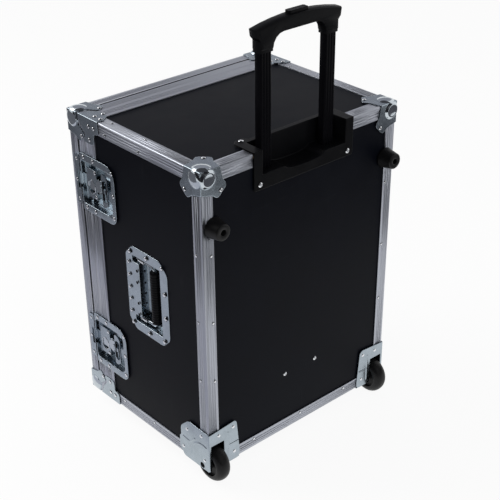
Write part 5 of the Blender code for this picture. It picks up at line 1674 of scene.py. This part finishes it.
@dataclass
class Latch(Assembly):
    """One recessed butterfly latch on the latch side."""

    name: str
    body_rivets: tuple[Pair, ...] = (
        (13, 50), (42, 50.5), (97.5, 45), (99, 2), (97.5, -43), (13, -50), (40, -50.5),
    )
    lid_rivets: tuple[Pair, ...] = ((-9, 40), (-12.4, -2), (-9, -40))
    lid_head: RivetHead = RivetHead(radius=3.3, height=1.5, recess=1.4, depth=0.8)
    pin_head: RivetHead = RivetHead(radius=3.4, height=1.6, recess=0.9, depth=0.3)
    pins: tuple[Pair, ...] = ((36.5, 24.0), (36.5, -24.0))
    webs: tuple[Web, ...] = (Web(94.0, -1, 15.0, 12.0), Web(3.2, 1, 7.0, 6.5))
    web_height: float = 43.0
    guide: Triple = (10.0, 40.6, 29.0)
    guide_top: float = 4.6
    guide_thick: float = 0.9
    leg_start: Pair = (22.5, 17.5)  # from the seam and from the latch's middle
    leg_height: float = 9.0
    leg_floor: float = 14.0
    window: Triple = (25.0, -7.0, 14.0)
    window_rim: float = 0.65
    window_squeeze: float = 0.8
    wing_floor: float = 12.0
    wing_slots: tuple[Pair, ...] = ((63.4, 67.2), (73.0, 77.6))
    slot_half: Pair = (17.0, 19.0)  # half length at the slot's sides and at its middle
    slot_bevel: float = 1.4
    slot_floor: Pair = (9.3, 0.8)  # height and thickness of the black sheet of painted shade under it

    def build(self) -> None:
        """Adds the dish, guide, keeper, hook, spindle and wing."""
        case = self.case
        stem = f"latch_{self.name}"
        height = case.middle(f"{stem}_dish").z
        face = case.half + STAND
        extras = [self.fill(web, sign, height) for web in self.webs for sign in (1, -1)]
        self.pressing(f"{stem}_dish", extras, voxel=0.55)
        for u, v in self.body_rivets:
            self.fasteners.add("case", case.at(face, case.seam + u, height + v), (1, 0, 0))
        for u, v in self.lid_rivets:
            self.fasteners.add("lid", case.at(face, case.seam + u, height + v), (1, 0, 0), self.lid_head)
        self.cover(stem, height)
        for part, body, ease, finish in (
            ("keeper", "lid", 0.3, self.shop.zinc),
            ("hook", f"{stem}_hook", 0.4, self.shop.polished),
            ("spindle", f"{stem}_spindle", 0.35, self.shop.polished),
        ):
            node = f"{stem}_{part}"
            place_piece(f"{node}_steel", eased(welded(node), ease), [finish], body, [node])
        self.wing(stem, height)

    def fill(self, web: Web, sign: int, height: float) -> Mesh:
        """Web that rounds one inner corner of the recess.

        Args:
            web: Its sizes.
            sign: 1 for the corner above the latch's middle and -1 for the one under it.
            height: Height of the latch's middle.

        Returns:
            Mesh in world metres.
        """
        u, v, inward, turn = web.end, sign * self.web_height, web.inward, web.turn
        outline = [(u - inward * 0.8, v + sign * 0.8), (u - inward * 0.8, v - sign * turn)]
        for step in range(9):
            angle = math.pi / 2 * step / 8
            along = u + inward * turn - inward * turn * math.cos(angle)
            outline.append((along, v - sign * turn + sign * turn * math.sin(angle)))
        outline.append((u + inward * turn, v + sign * 0.8))
        place = outward(self.case.at(self.case.half, self.case.seam, height))
        return prism(outline, web.deep, place @ lifted(1.0 - web.deep))

    def hexagon(self, radius: float) -> list[Pair]:
        """Outline of the guide's window, with a point up and a point down."""
        u, v, _ = self.window
        wide = self.window_squeeze * radius
        turns = [math.radians(30 + 60 * step) for step in range(6)]
        return [(u + wide * math.cos(turn), v + radius * math.sin(turn)) for turn in turns]

    def cover(self, stem: str, height: float) -> None:
        """Adds the guide plate over the hook, with its rimmed window and two domed pins.

        Args:
            stem: Start of the latch's node names.
            height: Height of the latch's middle.
        """
        case = self.case
        start, end, half = self.guide
        place = outward(case.at(case.half, case.seam, height))
        outline = [(start, -half), (end, -half), (end, half), (start, half)]
        thick = self.guide_thick
        plate = prism(outline, thick, place @ lifted(-self.guide_top - thick), ease=0.25)
        hole = prism(self.hexagon(self.window[2]), 4.0, place @ lifted(-self.guide_top - 2.0))
        plate = carved(plate, [hole])
        legs = []
        near, inner = self.leg_start
        for sign in (1, -1):
            low, high = sorted((sign * inner, sign * (half - 0.4)))
            leg = [(near, low), (end - 0.4, low), (end - 0.4, high), (near, high)]
            legs.append(prism(leg, self.leg_height, place @ lifted(-self.leg_floor)))
        points = self.hexagon(self.window[2] + 0.4)
        top = case.half - self.guide_top
        line = [case.at(top, case.seam + u, height + v) for u, v in points]
        rim = bar(line, self.window_rim, loop=True)
        finishes = [self.shop.zinc] * 3 + [self.shop.bright]
        mesh = joined([plate, *legs, rim])
        place_piece(f"{stem}_guide", mesh, finishes, "case")
        for u, v in self.pins:
            self.fasteners.add("case", case.at(top, case.seam + u, height + v), (1, 0, 0), self.pin_head)

    def wing(self, stem: str, height: float) -> None:
        """Adds the folding wing with two long slots, each with a black sheet of painted shade under it.

        Args:
            stem: Start of the latch's node names.
            height: Height of the latch's middle.
        """
        node = f"{stem}_wing"
        case = self.case
        place = outward(case.at(case.half - self.wing_floor, case.seam, height))
        (near, far), bevel = self.slot_half, self.slot_bevel
        lift, thick = self.slot_floor
        # Black sheets under the slots paint the shade seen through them
        slots, shade_sheets = [], []
        for low, high in self.wing_slots:
            outline = [(low, -near), (low + bevel, -far), (high - bevel, -far), (high, -near)]
            outline += [(high, near), (high - bevel, far), (low + bevel, far), (low, near)]
            slots.append(prism(outline, 2 * self.wing_floor, place))
            shade_sheets.append(prism(outline, thick, place @ lifted(lift)))
        mesh = joined([eased(carved(welded(node), slots), 0.45), *shade_sheets])
        finishes = [self.shop.zinc, self.shop.gasket, self.shop.gasket]
        place_piece(f"{node}_steel", mesh, finishes, node, [node])


@dataclass
class SideHandle(Assembly):
    """Recessed spring handle on the latch side."""

    wall: float = 1.5
    ribs: tuple[float, ...] = (-13.5, -8.5, -3.5, 1.5, 6.5, 11.5)
    rib_ends: Pair = (238.0, 366.0)
    rib_bar: float = 1.25
    rib_sunk: float = 0.3
    outer_rivets: tuple[Pair, ...] = (
        (-23, 377), (25, 381), (70, 380), (75, 329), (75, 279), (68, 227), (23, 223), (-24, 228),
    )
    strip_rivets: tuple[float, ...] = (354, 328, 302, 277, 251)
    strip_y: float = -28.0
    strip_head: RivetHead = RivetHead(radius=3.2, height=1.3)
    notches: tuple[Pair, ...] = ((-3.4, 344), (-4.6, 320), (-4.6, 276), (-4.6, 252))
    notch_sunk: float = 0.4
    wall_dots: tuple[float, ...] = (340, 316, 294, 273, 249)
    wall_dots_at: Pair = (7.0, -0.1)  # over the floor, and y
    arms: float = 61.5
    spring: Pair = (10.0, 26.0)  # ends, from the bail's front
    spring_radius: float = 5.0
    spring_turns: int = 7
    spring_wire: float = 0.8
    rings: int = 19
    ring_margin: float = 8.0
    ring: tuple[Pair, ...] = ((0.0, 1.5), (0.35, 0.9), (0.35, -0.9), (0.0, -1.5))  # depth, height

    def build(self) -> None:
        """Adds dish, bail, springs and grip."""
        case = self.case
        face = case.half + STAND
        floor = case.box("handle_dish")[0].x + self.wall
        ribs = []
        for y in self.ribs:
            line = [case.at(floor - self.rib_sunk, y, z) for z in self.rib_ends]
            ribs.append(bar(line, self.rib_bar))
        self.pressing("handle_dish", ribs)
        for y, z in self.outer_rivets:
            self.fasteners.add("case", case.at(face, y, z), (1, 0, 0))
        for z in self.strip_rivets:
            self.fasteners.add("case", case.at(face, self.strip_y, z), (1, 0, 0), self.strip_head)
        self.marks(face, floor)
        bail = pressed("handle_bail", voxel=0.5, relax=8, keep=0.4)
        place_piece("handle_bail_bar", bail, [self.shop.polished], "handle", ["handle_bail"])
        self.springs()
        self.grip()

    def marks(self, face: float, floor: float) -> None:
        """Adds black discs of painted shade where the dents sit on the recess's edge and wall.

        Args:
            face: X of the flange's outer face.
            floor: X of the recess's floor.
        """
        case = self.case
        discs = []
        for y, z in self.notches:
            seat = outward(case.at(face - self.notch_sunk, y, z))
            discs.append(lathe([(0, 0.55), (2.6, 0.55), (3.0, 0.3), (3.0, 0), (0, 0)], seat, 24))
        lift, y = self.wall_dots_at
        for z in self.wall_dots:
            seat = basis(case.at(floor + lift, y, z), (0, 0, 1), (1, 0, 0))
            discs.append(lathe([(0, 0.5), (1.9, 0.5), (2.2, 0.3), (2.2, 0), (0, 0)], seat, 20))
        # Discs in flat black paint the shade in the dents
        mesh = joined(discs)
        place_piece("handle_dents", mesh, [self.shop.gasket] * len(discs), "case")

    def springs(self) -> None:
        """Adds a wound spring on each arm of the bail."""
        case = self.case
        low = case.box("handle_bail")[0].y
        x = case.middle("handle_grip").x
        coils = []
        for sign in (1, -1):
            z = case.middle("handle_dish").z + sign * self.arms
            start, end = (case.at(x, low + offset, z) for offset in self.spring)
            coils.append(bar(coil(start, end, self.spring_radius, self.spring_turns), self.spring_wire))
        place_piece("handle_springs", joined(coils), [self.shop.bright] * 2, "handle")

    def grip(self) -> None:
        """Adds the ribbed rubber grip."""
        low, high = self.case.box("handle_grip")
        middle = (low + high) / 2
        length, radius = high.z - low.z, (high.x - low.x) / 2
        end = length / 2
        upper = [(0, end), (5.5, end), (radius - 0.9, end - 0.4), (radius, end - 1.8)]
        profile = list(upper)
        span = length - 2 * self.ring_margin
        for number in range(self.rings):
            at = end - self.ring_margin - span * number / (self.rings - 1)
            profile += [(radius - deep, at + offset) for deep, offset in self.ring]
        profile += mirrored(upper)[len(upper) :]
        mesh = lathe(profile, basis(self.case.at(*middle), (1, 0, 0), (0, 1, 0)), 56)
        place_piece("handle_grip_rubber", mesh, [self.shop.moulding], "handle", ["handle_grip"])


@dataclass
class Trolley(Assembly):
    """Pull-out handle: shell, tubes, legs, grip and button."""

    ear: float = 2.1
    panel_sunk: float = 2.3
    ear_screw: ScrewHead = ScrewHead()
    panel_screw: ScrewHead = ScrewHead(radius=4.2, height=1.8, recess=2.3, depth=0.9)

    def build(self) -> None:
        """Adds the moulded and the anodised pieces and their screws."""
        case = self.case
        shell = pressed("trolley_shell", voxel=0.8, relax=2, keep=0.3)
        place_piece(
            "trolley_shell_moulded", shell, [self.shop.moulding], "case", ["trolley_shell"]
        )
        for node, body, ease, finish, slot in (
            ("trolley_tube_frame", "case", 0.4, self.shop.tube, Slot.TUBE),
            ("trolley_leg_latch_side", "trolley", 0.3, self.shop.tube, Slot.TUBE),
            ("trolley_leg_hinge_side", "trolley", 0.3, self.shop.tube, Slot.TUBE),
            ("trolley_grip", "trolley", 0.8, self.shop.moulding, Slot.MOULDING),
            ("trolley_button", "trolley_button", 0.7, self.shop.moulding, Slot.MOULDING),
        ):
            mesh = eased(welded(node), ease, angle=30)
            place_piece(f"{node}_part", mesh, [finish], body, [node])
        for x, y, z, facing, screw in (
            (103.0, case.back + self.ear, 541.0, (0, 1, 0), self.ear_screw),
            (100.0, 136.0, case.top + self.ear, (0, 0, 1), self.ear_screw),
            (38.7, case.back - self.panel_sunk, 127.0, (0, 1, 0), self.panel_screw),
        ):
            for sign in (-1, 1):
                self.fasteners.add("case", case.at(sign * x, y, z), facing, screw)


@dataclass
class PianoHinge(Assembly):
    """Continuous hinge on the hinge side."""

    head: RivetHead = RivetHead(radius=2.2, height=0.9, recess=0.9, depth=0.35)
    first: float = 90.0
    pitch: float = 60.0
    count: int = 8
    from_seam: float = 13.0

    def build(self) -> None:
        """Adds the two leaves and the pin, with rivets along both leaves."""
        for node, body in (("hinge_body_leaf", "case"), ("hinge_lid_leaf", "lid"), ("hinge_pin", "case")):
            mesh = creased(eased(welded(node), 0.2, angle=35, segments=1), 40)
            place_piece(f"{node}_steel", mesh, [self.shop.zinc], body, [node])
        case = self.case
        for number in range(self.count):
            z = self.first + self.pitch * number
            for body, y in (("case", case.seam + self.from_seam), ("lid", case.seam - self.from_seam)):
                place = case.at(-(case.half + STAND), y, z)
                self.fasteners.add(body, place, (-1, 0, 0), self.head)


# Studio


@dataclass(frozen=True)
class Card:
    """Dark card of the studio that only reflections see; millimetres in the case's frame."""

    name: str
    middle: Triple
    aim: Triple
    width: float
    height: float
    tone: float
    blue: float = 1.1


@dataclass(frozen=True)
class Lamp:
    """Soft square light; millimetres in the case's frame, side in metres, power in watts."""

    name: str
    eye: Triple
    aim: Triple
    side: float
    power: float
    color: Triple


@dataclass(frozen=True)
class Studio:
    """Camera, lights, floor and dark cards."""

    case: Case
    eye: Triple = (1241.5, 1454.6, 1360.9)
    aim: Triple = (-85.8, 0.0, 191.7)
    lens: float = 81.93
    shift: Pair = (-0.0369, 0.0692)
    sensor: float = 36.0
    clip: Pair = (0.05, 50.0)
    ambient: float = 0.5
    floor_half: float = 9.0
    floor_drop: float = 0.4
    floor_tones: Pair = (0.92, 0.95)
    floor_glow: float = 0.92
    lamps: tuple[Lamp, ...] = (
        Lamp("key", (1000, -1600, 2300), (100, 50, 350), 1.7, 36.0, (1.0, 0.99, 0.98)),
        Lamp("fill", (200, 2900, 2100), (0, 150, 300), 1.8, 22.0, (0.97, 0.98, 1.0)),
    )
    cards: tuple[Card, ...] = (
        Card("camera_card", (667, 730, 886), (0, 0, 300), 6500, 5200, 0.02),
        Card("far_card", (-1300, -1450, 1900), (0, 0, 500), 2300, 1700, 0.36),
        Card("left_card", (640, -480, 400), (220, 0, 400), 950, 560, 0.16),
        Card("floor_card", (1000, -650, -29), (1000, -650, 900), 1400, 1900, 0.60),
        Card("right_card", (-460, 720, 245), (0, 190, 245), 950, 330, 0.10),
        Card("roof_card", (300, 300, 2400), (300, 300, 0), 3200, 3200, 0.07),
    )

    def build(self) -> None:
        """Adds the floor, the world, the cards, the lights and the camera."""
        bpy.context.scene.view_settings.view_transform = "Standard"
        self.floor()
        self.world()
        for card in self.cards:
            self.card(card)
        for lamp in self.lamps:
            self.lamp(lamp)
        self.camera()

    @staticmethod
    def seen(desk: Desk) -> NodeSocket:
        """One for camera, glossy and transmission rays, and zero for the light itself."""
        path = desk.node("ShaderNodeLightPath")
        both = desk.math("MAXIMUM", path.outputs["Is Camera Ray"], path.outputs["Is Glossy Ray"])
        return desk.math("MAXIMUM", both, path.outputs["Is Transmission Ray"])

    def floor(self) -> None:
        """Adds the pale floor, white to the camera and still darker in the object's shadow."""
        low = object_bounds()[0].z - self.floor_drop * MM
        mesh = rectangle("floor", self.floor_half, self.floor_half, low)
        material, desk = node_material("studio_white")
        shader = desk.tree.nodes["Principled BSDF"]
        output = desk.tree.nodes["Material Output"]
        where = desk.node("ShaderNodeTexCoord").outputs["Object"]
        dark, light = ((tone, tone, tone, 1) for tone in self.floor_tones)
        tone = desk.mixed(desk.noise(where, 3.0, 2.0), dark, light)
        desk.tree.links.new(tone, shader.inputs["Base Color"])
        shader.inputs["Roughness"].default_value = 0.9
        shader.inputs["Specular IOR Level"].default_value = 0.1
        share = desk.math("MULTIPLY", self.seen(desk), self.floor_glow)
        glow = desk.node("ShaderNodeEmission", None, {"Color": (1, 1, 1, 1), "Strength": 1.0})
        values: dict[str | int, Any] = {0: share, 1: shader.outputs[0], 2: glow.outputs[0]}
        mix = desk.node("ShaderNodeMixShader", None, values)
        desk.tree.links.new(mix.outputs[0], output.inputs["Surface"])
        mesh.materials.append(material)
        linked("studio_floor", mesh)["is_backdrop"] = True

    def world(self) -> None:
        """Adds an even room: white to the camera and in reflections, dimmer as a light."""
        world = bpy.data.worlds.new("studio_world")
        world.use_nodes = True
        bpy.context.scene.world = world
        desk = Desk(world.node_tree)
        world.node_tree.nodes.clear()
        light = desk.node("ShaderNodeBackground", None, {"Color": (1, 1, 1, 1), "Strength": self.ambient})
        white = desk.node("ShaderNodeBackground", None, {"Color": (1, 1, 1, 1), "Strength": 1.0})
        values: dict[str | int, Any] = {0: self.seen(desk), 1: light.outputs[0], 2: white.outputs[0]}
        mix = desk.node("ShaderNodeMixShader", None, values)
        desk.node("ShaderNodeOutputWorld", None, {0: mix.outputs[0]})

    def aimed(self, item: Object, eye: Triple, aim: Triple, axis: str) -> Object:
        """Puts an object in its place and turns it to its aim.

        Args:
            item: Card, lamp or camera.
            eye: Its place in the case's frame.
            aim: Point in the case's frame that it faces.
            axis: Its own axis that faces the aim.

        Returns:
            The same object.
        """
        item.location = self.case.at(*eye)
        direction = self.case.at(*aim) - item.location
        item.rotation_euler = direction.to_track_quat(axis, "Y").to_euler()
        return item

    def card(self, card: Card) -> None:
        """Adds one dark card that faces its aim.

        Args:
            card: Its place, size and tone.
        """
        mesh = rectangle(card.name, card.width / 2 * MM, card.height / 2 * MM)
        material, desk = node_material(card.name)
        color = (card.tone, card.tone, card.tone * card.blue, 1)
        glow = desk.node("ShaderNodeEmission", None, {"Color": color, "Strength": 1.0})
        output = desk.tree.nodes["Material Output"]
        desk.tree.links.new(glow.outputs[0], output.inputs["Surface"])
        mesh.materials.append(material)
        item = self.aimed(linked(card.name, mesh), card.middle, card.aim, "Z")
        for ray in ("camera", "diffuse", "transmission", "shadow", "volume_scatter"):
            setattr(item, f"visible_{ray}", False)
        item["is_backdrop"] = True

    def lamp(self, lamp: Lamp) -> None:
        """Adds one soft square light.

        Args:
            lamp: Its place, size, power and colour.
        """
        data = bpy.data.lights.new(lamp.name, "AREA")
        data.shape = "SQUARE"
        data.size = lamp.side
        data.energy = lamp.power
        data.color = lamp.color
        self.aimed(linked(lamp.name, data), lamp.eye, lamp.aim, "-Z")

    def camera(self) -> None:
        """Adds the camera at the photograph's place."""
        data = bpy.data.cameras.new("camera")
        data.sensor_width = self.sensor
        data.lens = self.lens
        data.shift_x, data.shift_y = self.shift
        data.clip_start, data.clip_end = self.clip
        bpy.context.scene.camera = self.aimed(linked("camera", data), self.eye, self.aim, "-Z")


def main() -> None:
    """Builds every sub-assembly and the studio."""
    logging.basicConfig(level=logging.INFO, format="%(name)s: %(message)s")
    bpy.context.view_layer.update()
    case = Case.measured()
    shop = Shop()
    fasteners = Fasteners(shop)
    parts = [
        Panels(shop),
        Aluminium(case, shop, fasteners),
        BallCorners(case, shop, fasteners),
        Braces(case, shop, fasteners),
        WheelCorners(case, shop, fasteners),
        Buffers(case, shop, fasteners),
        Latch(case, shop, fasteners, "upper"),
        Latch(case, shop, fasteners, "lower"),
        SideHandle(case, shop, fasteners),
        Trolley(case, shop, fasteners),
        PianoHinge(case, shop, fasteners),
        fasteners,
    ]
    for part in parts:
        known = set(bpy.data.objects)
        part.build()
        names = sorted(item.name for item in bpy.data.objects if item not in known)
        log.info("%s: %s", type(part).__name__, ", ".join(names))
    Studio(case).build()


if __name__ == "__main__":
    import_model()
    main()
